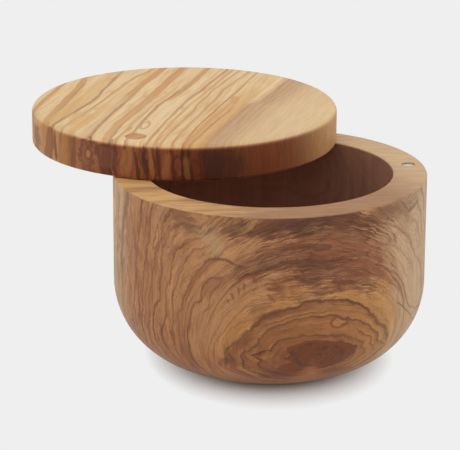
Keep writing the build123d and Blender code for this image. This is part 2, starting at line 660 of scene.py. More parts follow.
@dataclass(frozen=True)
class Streak:
    """A line or band of the figure. Widths are in millimetres.

    The path and the weight are pairs: a place along the grain, and there the place across it or the strength.
    """

    tone: Tone
    core: float
    before: float
    after: float
    path: tuple[tuple[float, float], ...]
    weight: tuple[tuple[float, float], ...] = ()
    shade: float = 0.5
    soft: float = 0.3


@dataclass(frozen=True)
class Growth:
    """Fine yearly rings: how far apart they are, in millimetres, how dark and how crisp."""

    tone: Tone
    spacing: float
    share: float
    sharpness: float


@dataclass(frozen=True)
class Stain:
    """A blot of colour inside the wood, or only its outline where it has a line.

    Its middle and its half sizes are in millimetres, its turns in radians.
    """

    tone: Tone
    middle: tuple[float, float, float]
    size: tuple[float, float, float]
    turn: tuple[float, float, float] = (0.0, 0.0, 0.0)
    strength: float = 1.0
    ragged: float = 0.3
    soft: float = 0.5
    fibrous: float = 0.0
    line: float = 0.0


@dataclass(frozen=True)
class Vein:
    """Fine wandering lines: about how far apart, how long and how wide, in millimetres, and how strong."""

    tone: Tone
    spacing: float
    length: float
    width: float
    strength: float
    within: Stain | None = None


@dataclass
class Figure:
    """The grain of one block of wood, and its colour so far.

    The ways across and along its rings have limits between which streaks are drawn. The place in the grain is
    that way across, with the two ways in which fibres run.
    """

    tree: Tree
    place: Any
    across: Any
    along: Any
    width: tuple[float, float]
    length: tuple[float, float]
    grain: Any
    blot: Any
    fibre: Any
    colour: Any

    def __post_init__(self) -> None:
        """Measure both ways from 0 to 1, which curves need."""
        self.side, self.station = (
            self.tree.add("MapRange", {"Value": way, "From Min": low, "From Max": high}, clamp=False)
            for way, (low, high) in ((self.across, self.width), (self.along, self.length))
        )

    def run(self, points: Sequence[tuple[float, float]], low: float = 0.0, high: float = 1.0) -> Any:
        """A smooth run of values along the grain.

        Args:
            points: Pairs of a place along the grain and a value.
            low: Value that the curve holds as 0.
            high: Value that it holds as 1.

        Returns:
            The socket of the value, from 0 to 1.
        """
        start, end = self.length
        node = self.tree.add("FloatCurve", {"Factor": 1.0, "Value": self.station}).node
        node.mapping.extend = "HORIZONTAL"
        curve = node.mapping.curves[0]
        spots = [((at - start) / (end - start), (value - low) / (high - low)) for at, value in points]
        curve.points[0].location = spots[0]
        curve.points[-1].location = spots[-1]
        for spot in spots[1:-1]:
            curve.points.new(*spot)
        for point in curve.points:
            point.handle_type = "AUTO_CLAMPED"
        node.mapping.update()
        return node.outputs["Value"]

    def lay(self, streak: Streak) -> None:
        """Lay a crisp core over the colour so far, and a fainter shade that fades off both its sides.

        Args:
            streak: What to lay.
        """
        tree = self.tree
        low, high = self.width
        span = high - low
        core = streak.core / span
        off = tree.add("Math", {0: self.side, 1: self.run(streak.path, low, high)}, operation="SUBTRACT")
        near = tree.add("Math", {0: off}, operation="ABSOLUTE")
        crisp = {"Value": near, "From Min": core + streak.soft / span, "From Max": core}
        rising = {"Value": off, "From Min": -core - streak.before / span, "From Max": -core}
        rising["To Max"] = streak.shade
        falling = {"Value": off, "From Min": core + streak.after / span, "From Max": core}
        line, rise, fall = (tree.add("MapRange", limits, **EASED) for limits in (crisp, rising, falling))
        shade = tree.add("Math", {0: rise, 1: fall}, operation="MULTIPLY")
        mask = tree.add("Math", {0: line, 1: shade}, operation="MAXIMUM")
        if streak.weight:
            mask = tree.add("Math", {0: mask, 1: self.run(streak.weight)}, operation="MULTIPLY")
        self.mix(mask, streak.tone)

    def blotch(self, *stains: Stain) -> None:
        """Lay stains over the colour so far."""
        for stain in stains:
            self.mix(self.reach(stain), stain.tone)

    def reach(self, stain: Stain) -> Any:
        """How strong a stain is at each place, with its edge made ragged.

        Args:
            stain: The stain.

        Returns:
            The socket of the value, from 0 to the stain's strength.
        """
        tree = self.tree
        inputs = {"Vector": self.place, "Location": stain.middle, "Rotation": stain.turn, "Scale": stain.size}
        inside = tree.add("Mapping", inputs, vector_type="TEXTURE")
        rough = tree.add("VectorMath", {0: inside}, operation="LENGTH")
        for noise, share in ((self.blot, stain.ragged), (self.fibre, stain.fibrous)):
            rough = tree.add("Math", {0: noise, 1: share, 2: rough}, operation="MULTIPLY_ADD")
        start, end = 1.0 + stain.soft / 2, 1.0 - stain.soft / 2
        if stain.line:
            rough = tree.add("Math", {0: rough, 1: 1.0}, operation="SUBTRACT")
            rough = tree.add("Math", {0: rough}, operation="ABSOLUTE")
            start, end = stain.line, 0.0
        limits = {"Value": rough, "From Min": start, "From Max": end, "To Max": stain.strength}
        return tree.add("MapRange", limits, **EASED)

    def grow(self, growth: Growth) -> None:
        """Lay yearly rings that darken slowly and end in a crisp line, and that come and go in patches.

        Args:
            growth: What to lay.
        """
        tree = self.tree
        uneven = drift(tree, self.grain, (growth.spacing * 5, 30, 30), 1.2)
        year = tree.add("Math", {0: self.across, 1: 1 / growth.spacing, 2: uneven}, operation="MULTIPLY_ADD")
        year = tree.add("Math", {0: year}, operation="FRACT")
        late = tree.add("Math", {0: year, 1: growth.sharpness}, operation="POWER")
        share = drift(tree, self.grain, (growth.spacing * 2.3, 21, 21), 1.0)
        limits = {"Value": share, "From Min": -0.6, "From Max": 1.0, "To Max": growth.share}
        share = tree.add("MapRange", limits, **EASED)
        self.mix(tree.add("Math", {0: late, 1: share}, operation="MULTIPLY"), growth.tone)

    def wander(self, *veins: Vein) -> None:
        """Draw lines where a long smooth noise crosses its middle, here strong and there faint.

        Args:
            veins: What to draw, in order.
        """
        tree = self.tree
        for vein in veins:
            wave = drift(tree, self.grain, (vein.spacing, vein.length, vein.length), 1.0)
            near = tree.add("Math", {0: wave}, operation="ABSOLUTE")
            # The noise runs through its whole reach over about half its period
            edge = {"Value": near, "From Min": 2.0 * vein.width / vein.spacing, "From Max": 0.0}
            line = tree.add("MapRange", edge, **EASED)
            patchy = drift(tree, self.grain, (vein.spacing * 3.1, vein.length * 0.6, vein.length * 0.6), 1.0)
            limits = {"Value": patchy, "From Min": -0.9, "From Max": 0.6, "To Max": vein.strength}
            share = tree.add("MapRange", limits, **EASED)
            share = tree.add("Math", {0: line, 1: share}, operation="MULTIPLY")
            if vein.within:
                share = tree.add("Math", {0: share, 1: self.reach(vein.within)}, operation="MULTIPLY")
            self.mix(share, vein.tone)

    def mix(self, share: Any, tone: Tone) -> None:
        """Mix a tone into the colour so far."""
        inputs = {0: share, 6: self.colour, 7: linear(tone.value)}
        self.colour = self.tree.add("Mix", inputs, data_type="RGBA")

    def keep(self, colour: Any, share: Any) -> None:
        """Go back to an earlier colour, all but a share of what was laid since."""
        self.colour = self.tree.add("Mix", {0: share, 6: colour, 7: self.colour}, data_type="RGBA")

    def shade(self, *shares: Any) -> None:
        """Brighten and darken the colour.

        Args:
            shares: Sockets of signed shares of its brightness.
        """
        light = 1.0
        for share in shares:
            light = self.tree.add("Math", {0: light, 1: share}, operation="ADD")
        inputs = {0: 1.0, 6: self.colour, 7: light}
        self.colour = self.tree.add("Mix", inputs, data_type="RGBA", blend_type="MULTIPLY")

    def fibres(self, share: float) -> Any:
        """The signed fibre pattern, as strong as that share."""
        return self.tree.add("Math", {0: self.fibre, 1: share}, operation="MULTIPLY")

    def oiled(self) -> Any:
        """Give the colour the sheen and the faint open grain of sanded, oiled wood.

        Returns:
            The shader's socket.
        """
        tree = self.tree
        fibre = self.fibres(0.1)
        limits = {"Value": fibre, "From Min": -0.1, "From Max": 0.1, "To Min": 0.58, "To Max": 0.46}
        # The fibres stand about 0.03 mm proud
        bump = tree.add("Bump", {"Height": fibre, "Strength": 0.3, "Distance": 0.03 * MM})
        inputs = {"Base Color": self.colour, "Roughness": tree.add("MapRange", limits), "Normal": bump}
        return tree.add("BsdfPrincipled", {**inputs, "IOR": 1.47, "Specular IOR Level": 0.3})


class Finish:
    """A material whose tree a subclass fills."""

    name = "finish"

    def material(self) -> bpy.types.Material:
        """Make the material and let the subclass fill it.

        Returns:
            The material.
        """
        made = bpy.data.materials.new(self.name)
        made.use_nodes = True
        tree = Tree(made.node_tree)
        tree.add("OutputMaterial", {"Surface": self.fill(tree)})
        return made

    def fill(self, tree: Tree) -> Any:
        """Fill the tree and return the shader's socket."""
        raise NotImplementedError


# Where the lid's edge stains have their middles, and half of how deep they go, in millimetres
EDGE_RADIUS = 60.5
EDGE_DEPTH = 7.0


def edge_stain(
    tone: Tone,
    turn: float,
    height: float,
    wide: float,
    tall: float,
    lean: float,
    strength: float,
    **more: float,
) -> Stain:
    """A stain that faces outwards on the lid's edge.

    Args:
        tone: Its colour.
        turn: Its middle's turn about the lid's axis, in degrees, from the near end of the grain.
        height: Height of its middle over the lid's own, in millimetres.
        wide: Half its width, in millimetres.
        tall: Half its height, in millimetres.
        lean: How far it leans, in degrees.
        strength: How strong it is, up to 1.
        more: How ragged, soft and fibrous it is, and its line.

    Returns:
        The stain.
    """
    about = math.radians(turn)
    middle = (EDGE_RADIUS * math.sin(about), -EDGE_RADIUS * math.cos(about), height)
    return Stain(tone, middle, (wide, EDGE_DEPTH, tall), (0.0, math.radians(lean), about), strength, **more)


@dataclass(frozen=True)
class LidWood(Finish):
    """Olive wood, plank sawn, turned, sanded and oiled: bold streaks along the grain on a cream ground.

    The streaks run through the whole disc, so the edge shows their ends, which drink more oil and go darker.
    """

    name: str = "olive_lid_oiled"
    grain_turn: float = math.radians(-20)
    end_turn: float = math.radians(-1)
    end_tint: tuple[float, float, float] = (1.30, 0.63, 0.50)
    edge_tint: tuple[float, float, float] = (0.83, 0.64, 0.46)
    # A long sway of the plank, and the saw-toothed edge of every line
    sways: tuple[tuple[Any, ...], ...] = (((26, 70, 16), 0.6), ((9, 20, 5), 0.4), ((2.2, 8, 2.5), 0.22, 2.0))
    streaks: tuple[Streak, ...] = (
        # The plain right third, and the rosy zone along its left side
        Streak(Tone.SAND, 0.0, 0.3, 60.0,
            ((-62, 24.6), (6, 24.6), (9, 26.3), (20, 28.2), (48, 30), (62, 31)), shade=1.0),
        Streak(Tone.ROSE, 1.6, 0.3, 13.0,
            ((-62, 26.2), (6, 26.2), (9, 28), (20, 29.8), (48, 31.6), (62, 32.6)), shade=0.9),
        Streak(Tone.PLUM, 0.2, 0.2, 2.2,
            ((-62, 24.8), (6, 24.8), (9, 26.5), (20, 28.4), (48, 30.2), (62, 31)),
            ((-62, 0.5), (0, 0.5), (10, 0.3), (62, 0.3)), soft=0.6),
        Streak(Tone.PLUM, 0.15, 0.4, 0.5, ((-62, 27.9), (0, 27.8), (20, 31), (62, 34)),
            ((-62, 0.3), (62, 0.3)), soft=0.6),
        Streak(Tone.PLUM, 0.15, 0.4, 0.5, ((-62, 30.8), (0, 30.6), (20, 33.4), (62, 36)),
            ((-62, 0.25), (62, 0.2)), soft=0.6),
        Streak(Tone.PLUM, 0.15, 0.4, 0.5, ((-62, 33.4), (0, 33), (20, 35.6), (62, 38)),
            ((-62, 0.2), (62, 0.1)), soft=0.6),
        # Honey coloured wood with darker lines, right of the middle
        Streak(Tone.HONEY, 3.6, 2.6, 1.0, ((-62, 20.5), (0, 20), (20, 20.5), (62, 22)),
            ((-62, 0.85), (15, 0.7), (34, 0.3)), 0.8, 0.8),
        Streak(Tone.TAN, 0.7, 1.2, 0.3, ((-62, 23.8), (5, 23.6), (9, 25), (20, 27.2), (62, 29)),
            ((-62, 0.9), (62, 0.4)), 0.7),
        Streak(Tone.UMBER, 0.35, 1.0, 0.6, ((-62, 19.4), (-30, 19.4), (-10, 19.6), (5, 19)),
            ((-62, 0.7), (-10, 0.8), (2, 0.4), (8, 0)), soft=0.5),
        Streak(Tone.TAN, 0.5, 1.0, 0.4, ((-62, 17.2), (-30, 17.4), (0, 17.2), (20, 18)),
            ((-62, 0.9), (0, 0.6), (25, 0)), soft=0.5),
        Streak(Tone.UMBER, 0.25, 0.6, 0.8,
            ((-62, 17), (-30, 15), (-15, 14.8), (0, 14.2), (30, 14.6), (62, 15.6)),
            ((-62, 0.8), (15, 0.9), (30, 0.6), (62, 0.4)), soft=0.5),
        Streak(Tone.TAN, 0.35, 0.6, 1.0, ((-62, 13), (-30, 10.7), (0, 10.1), (20, 9.2), (62, 12)),
            ((-62, 0.9), (62, 0.7)), soft=0.5),
        Streak(Tone.TAN, 0.3, 0.5, 0.8,
            ((-62, 8.6), (-40, 7.2), (-10, 6.4), (10, 5.2), (30, 5.6), (62, 7.6)), ((-62, 0.8), (62, 0.9)),
            soft=0.4),
        Streak(Tone.TAN, 0.4, 0.5, 1.0, ((-62, 6.4), (-30, 3.6), (-5, 2.4), (20, 3), (62, 4.6)),
            ((-62, 0.7), (62, 0.7)), soft=0.5),
        # The line through the middle, and the mauve one left of it
        Streak(Tone.PLUM, 0.32, 0.7, 1.0,
            ((-62, 3.4), (-40, 2), (-20, 0.5), (-5, -0.6), (5, -0.6), (20, 0.3), (40, 1.2), (62, 2.5)),
            ((-62, 0.6), (20, 0.7), (62, 0.8)), soft=0.5),
        Streak(Tone.TAN, 0.9, 0.6, 0.6, ((0, -7.6), (8, -7.4), (20, -6.8), (62, -6.2)),
            ((0, 0), (12, 0.9), (62, 1)), soft=0.6),
        Streak(Tone.PLUM, 0.32, 0.5, 0.8,
            ((-62, -5.6), (-40, -7), (-30, -8), (-15, -9), (0, -8.8), (8, -8.4), (20, -8.2), (40, -7.8)),
            ((-62, 0.6), (8, 0.8), (20, 0.4), (45, 0.2)), soft=0.5),
        Streak(Tone.TAN, 0.4, 0.5, 1.0, ((-62, -9.6), (-45, -10), (-10, -11.4), (20, -11)),
            ((-62, 0.8), (-20, 0.6), (10, 0.4), (20, 0)), soft=0.5),
        # Broad bands of the left half
        Streak(Tone.TAN, 1.5, 0.8, 0.8,
            ((-62, -13), (-40, -15), (-20, -16), (0, -15.8), (30, -16.6), (62, -17)),
            ((-62, 0.7), (-30, 0.8), (62, 1)), soft=0.6),
        Streak(Tone.UMBER, 0.2, 0.8, 0.4, ((-62, -11.6), (-40, -13.4), (-20, -14.2), (0, -14), (30, -14.8)),
            ((-62, 0.7), (-10, 0.5), (15, 0.2), (30, 0)), soft=0.5),
        Streak(Tone.TAN, 1.4, 0.8, 0.8, ((-62, -22), (-20, -25), (0, -25.2), (20, -25.4), (62, -25)),
            ((-62, 0.3), (-10, 0.3), (14, 0.9), (62, 1)), soft=0.6),
        Streak(Tone.PLUM, 0.35, 1.4, 0.4, ((-62, -19.4), (-40, -22), (-20, -23.2), (0, -23.4), (12, -24)),
            ((-62, 0.8), (-20, 0.8), (0, 0.5), (14, 0)), soft=0.5),
        Streak(Tone.TAN, 0.4, 0.6, 1.0,
            ((-62, -35.6), (-40, -34.6), (-20, -33.5), (0, -32.8), (30, -32), (50, -28.5)),
            ((-62, 0.7), (40, 0.9)), soft=0.5),
        Streak(Tone.HONEY, 1.2, 1.6, 1.6, ((-62, -30), (-30, -29), (0, -28.6), (40, -28)),
            ((-62, 0.9), (-24, 0.7), (0, 0.3)), 0.7, 0.8),
        Streak(Tone.PLUM, 0.4, 1.6, 0.4,
            ((-48, -40), (-32, -38.5), (-20, -37.8), (-8, -36.9), (0, -36.8), (10, -37.8), (25, -38.9),
             (42, -39.6)), ((-50, 0.85), (20, 0.8), (42, 0.5)), soft=0.5),
        Streak(Tone.HONEY, 1.6, 1.6, 1.2, ((-45, -42.6), (-30, -41.6), (0, -41), (25, -42.5)),
            ((-45, 0.8), (0, 0.6), (30, 0.4)), 0.7, 0.8),
        Streak(Tone.TAN, 1.2, 0.7, 0.7, ((-45, -43.4), (-20, -46), (0, -47), (18, -49), (28, -51)),
            ((-45, 0.6), (-20, 0.9), (0, 1), (28, 0.8)), soft=0.5),
        Streak(Tone.UMBER, 0.2, 0.6, 0.4, ((-30, -44), (0, -46), (20, -48.2)),
            ((-30, 0), (-8, 0.5), (10, 0.4), (22, 0)), soft=0.4),
        Streak(Tone.TAN, 0.8, 0.6, 0.6, ((-30, -54), (-10, -55), (0, -55.5), (20, -56.5)),
            ((-30, 0.9), (20, 0.9)), soft=0.4),
    )
    veins: tuple[Vein, ...] = (
        Vein(Tone.TAN, 3.0, 50, 0.35, 0.5),
        Vein(Tone.UMBER, 2.3, 45, 0.18, 0.25),
        Vein(Tone.HONEY, 1.3, 40, 0.3, 0.4),
    )
    marks: tuple[Stain, ...] = (
        Stain(Tone.TAN, (17.8, 10, 7), (1.6, 6, 8), (0, 0, 0.12), 0.7, 0.5, 0.6),
        Stain(Tone.TAN, (12.6, -3, 7), (0.9, 9, 8), (0, 0, 0.02), 0.5, 0.5, 0.7),
        Stain(Tone.HONEY, (-33, -32, 7), (4.5, 9, 8), (0, 0, 0.2), 0.6, 0.8, 0.9),
        Stain(Tone.PLUM, (-5.2, -35.5, 7), (1.5, 5.5, 8), (0, 0, 0.12), 0.6, 0.3, 0.4, 0.1, 0.45),
        Stain(Tone.TAN, (-6.6, -46.5, 7), (1.6, 2.6, 8), (0, 0, -0.2), 0.6, 0.5, 0.6),
        Stain(Tone.TAN, (-9.3, -42.5, 7), (0.9, 3.0, 8), (0, 0, 0), 0.7, 0.3, 0.6),
    )
    edge_marks: tuple[Stain, ...] = (
        # Wavy bands where the rings run along the edge, and golden wood between them
        edge_stain(Tone.UMBER, -47, -1.6, 16, 5.8, 0, 0.6, ragged=0.2, soft=0.4),
        edge_stain(Tone.RUST, -56, -2.2, 3, 4.4, 8, 0.75, ragged=0.6, soft=0.8),
        edge_stain(Tone.COCOA, -55.4, -2.2, 3.4, 4.8, 12, 0.6, ragged=0.6, line=0.3),
        edge_stain(Tone.RUST, -43, -1.6, 2.6, 5.6, 10, 0.7, ragged=0.5, soft=0.7),
        edge_stain(Tone.COCOA, -43, -1.6, 2.8, 5.8, 10, 0.7, ragged=0.5, line=0.3),
        edge_stain(Tone.COCOA, -38.4, -1.2, 0.9, 6, -6, 0.85, ragged=0.4, soft=0.7),
        edge_stain(Tone.AMBER, -33.6, -1.2, 3.4, 6.4, 0, 0.6),
        edge_stain(Tone.COCOA, -27.6, -1.2, 1.5, 6.2, 5, 0.7, ragged=0.4, soft=0.6),
        # A knot and the dark patch beside it
        edge_stain(Tone.AMBER, -20.3, -0.6, 5.4, 5.8, 0, 0.5, soft=0.4),
        edge_stain(Tone.RUST, -20.6, -0.4, 3.4, 4.6, 0, 0.6, soft=0.6),
        edge_stain(Tone.COCOA, -20.6, -0.4, 4, 5.2, 20, 1, ragged=0.8, line=0.42),
        edge_stain(Tone.UMBER, -20.4, 0.2, 1.2, 1.7, 0, 0.7, ragged=0.2, soft=0.6),
        edge_stain(Tone.COCOA, -20.4, 0.2, 1.4, 2, 0, 0.9, line=0.4),
        edge_stain(Tone.COCOA, -12.8, 0.4, 4.6, 4.3, 0, 0.6, soft=0.35),
        edge_stain(Tone.BARK, -12.4, 0.2, 4.8, 4.7, 0, 0.6, ragged=0.5, line=0.22),
        # Bold lines and golden wood under the pivot
        edge_stain(Tone.BARK, -8.8, -0.8, 0.9, 6, 0, 0.6, ragged=0.5, soft=0.7),
        edge_stain(Tone.AMBER, -4.4, -1, 2.5, 6.2, 4, 0.55, soft=0.6),
        edge_stain(Tone.DUSK, -0.6, -0.8, 0.9, 6.2, -7, 0.85, ragged=0.5, soft=0.6),
        edge_stain(Tone.DUSK, 2.4, -0.8, 0.9, 6.2, -7, 0.9, ragged=0.5, soft=0.6),
        edge_stain(Tone.AMBER, 4.9, -1, 0.8, 6, -6, 0.55, soft=0.6),
        edge_stain(Tone.DUSK, 7.2, -0.8, 0.6, 6, -4, 0.8, ragged=0.5, soft=0.6),
        edge_stain(Tone.AMBER, 10.4, -1.6, 1.6, 5.4, 5, 0.5, ragged=0.4, soft=0.8),
        # Smaller knots, and the dark zone that closes the figured half
        edge_stain(Tone.DUSK, 14.4, -1.6, 2, 4.2, -6, 0.8, ragged=0.5, line=0.4),
        edge_stain(Tone.AMBER, 17.6, -2, 1.2, 5, -4, 0.4, ragged=0.4, soft=0.8),
        edge_stain(Tone.DUSK, 20.5, -2.2, 2, 3.4, 8, 0.6, ragged=0.5, line=0.35),
        edge_stain(Tone.DUSK, 27.5, -2, 3.6, 6, 2, 0.85, ragged=0.2, soft=0.6, fibrous=0.2),
        edge_stain(Tone.DUSK, 33.5, -2, 5, 6, -4, 0.6, soft=1.2, fibrous=0.4),
    )

    def fill(self, tree: Tree) -> Any:
        """Streaks, marks, fibres and darker ends.

        Args:
            tree: The material's tree.

        Returns:
            The shader's socket.
        """
        space = Space.of("lid")
        local = centred(tree, space.middle, (0, 0, self.grain_turn))
        x, y, z = tree.add("SeparateXYZ", {0: local}).node.outputs
        across = swayed(tree, x, local, self.sways)
        # Curls that the turned edge cuts across
        below = tree.add("MapRange", {"Value": z, "From Min": 6.8, "From Max": 3.0})
        curl = drift(tree, local, (7, 30, 6.5), 1.0)
        across = tree.add("Math", {0: below, 1: curl, 2: across}, operation="MULTIPLY_ADD")
        blot = drift(tree, local, (3.5, 9, 3.5), 1.0, 2.0)
        fibre = drift(tree, local, (0.45, 13, 5), 1.0, 3.0)
        grain = tree.add("CombineXYZ", {0: across, 1: y, 2: z})
        ground = linear(Tone.CREAM.value)
        figure = Figure(tree, local, across, y, (-64, 64), (-62, 62), grain, blot, fibre, ground)
        broad = drift(tree, local, (4.5, 70, 20), 1.0)
        figure.mix(tree.add("MapRange", {"Value": broad, "From Max": 1.2, "To Max": 0.35}), Tone.HONEY)
        plain = figure.colour
        figure.wander(*self.veins)
        figure.keep(plain, tree.add("MapRange", {"Value": across, "From Min": 26, "From Max": 20}))
        for streak in self.streaks:
            figure.lay(streak)
        figure.blotch(*self.marks)
        figure.shade(drift(tree, local, (1.5, 60, 20), 0.065, 2.0), figure.fibres(0.09))
        figure.colour = self.ends(tree, figure.colour, local, space.radius)
        figure.blotch(*self.edge_marks)
        return figure.oiled()

    def ends(self, tree: Tree, colour: Any, local: Any, radius: float) -> Any:
        """Darken the edge where the grain runs into it.

        Args:
            tree: The material's tree.
            colour: Colour of the plank's face.
            local: Socket with the place in the plank, in millimetres.
            radius: Radius of the lid, in millimetres.

        Returns:
            The colour's socket.
        """
        turned = tree.add("Mapping", {"Vector": local, "Rotation": (0, 0, self.grain_turn - self.end_turn)})
        _, y, _ = tree.add("SeparateXYZ", {0: turned}).node.outputs
        limits = {"Value": off_axis(tree, turned), "From Min": radius - 0.55, "From Max": radius - 0.05}
        edge = tree.add("MapRange", limits)
        head_on = tree.add("Math", {0: y}, operation="ABSOLUTE")
        limits = {"Value": head_on, "From Min": 0.4 * radius, "From Max": 0.85 * radius}
        ends = tree.add("Math", {0: tree.add("MapRange", limits, **EASED), 1: edge}, operation="MULTIPLY")
        drawn = tree.add("Mix", {0: edge, 4: (1.0, 1.0, 1.0), 5: self.edge_tint}, data_type="VECTOR")
        colour = tree.add("VectorMath", {0: colour, 1: drawn}, operation="MULTIPLY")
        light = tree.add("Math", {0: tree.add("RGBToBW", {0: colour}), 1: 1.2}, operation="POWER")
        deep = tree.add("VectorMath", {0: colour, "Scale": light}, operation="SCALE")
        deep = tree.add("VectorMath", {0: deep, 1: self.end_tint}, operation="MULTIPLY")
        return tree.add("Mix", {0: ends, 6: colour, 7: deep}, data_type="RGBA")


def patch(
    tone: Tone,
    turn: float,
    ring: float,
    wide: float,
    tall: float,
    lean: float,
    strength: float,
    **more: float,
) -> Stain:
    """A stain laid out along the bowl's rings.

    Args:
        tone: Its colour.
        turn: Its middle's turn about the eye, in degrees from the top towards the right.
        ring: Its middle's distance across the rings, in millimetres.
        wide: Half its width along the rings, in degrees.
        tall: Half its width across the rings, in millimetres.
        lean: How far it leans out of the rings, in degrees.
        strength: How strong it is, up to 1.
        more: How ragged, soft and fibrous it is, and its line.

    Returns:
        The stain.
    """
    return Stain(tone, (turn, ring, 0.0), (wide, tall, 1.0), (0.0, 0.0, math.radians(lean)), strength, **more)


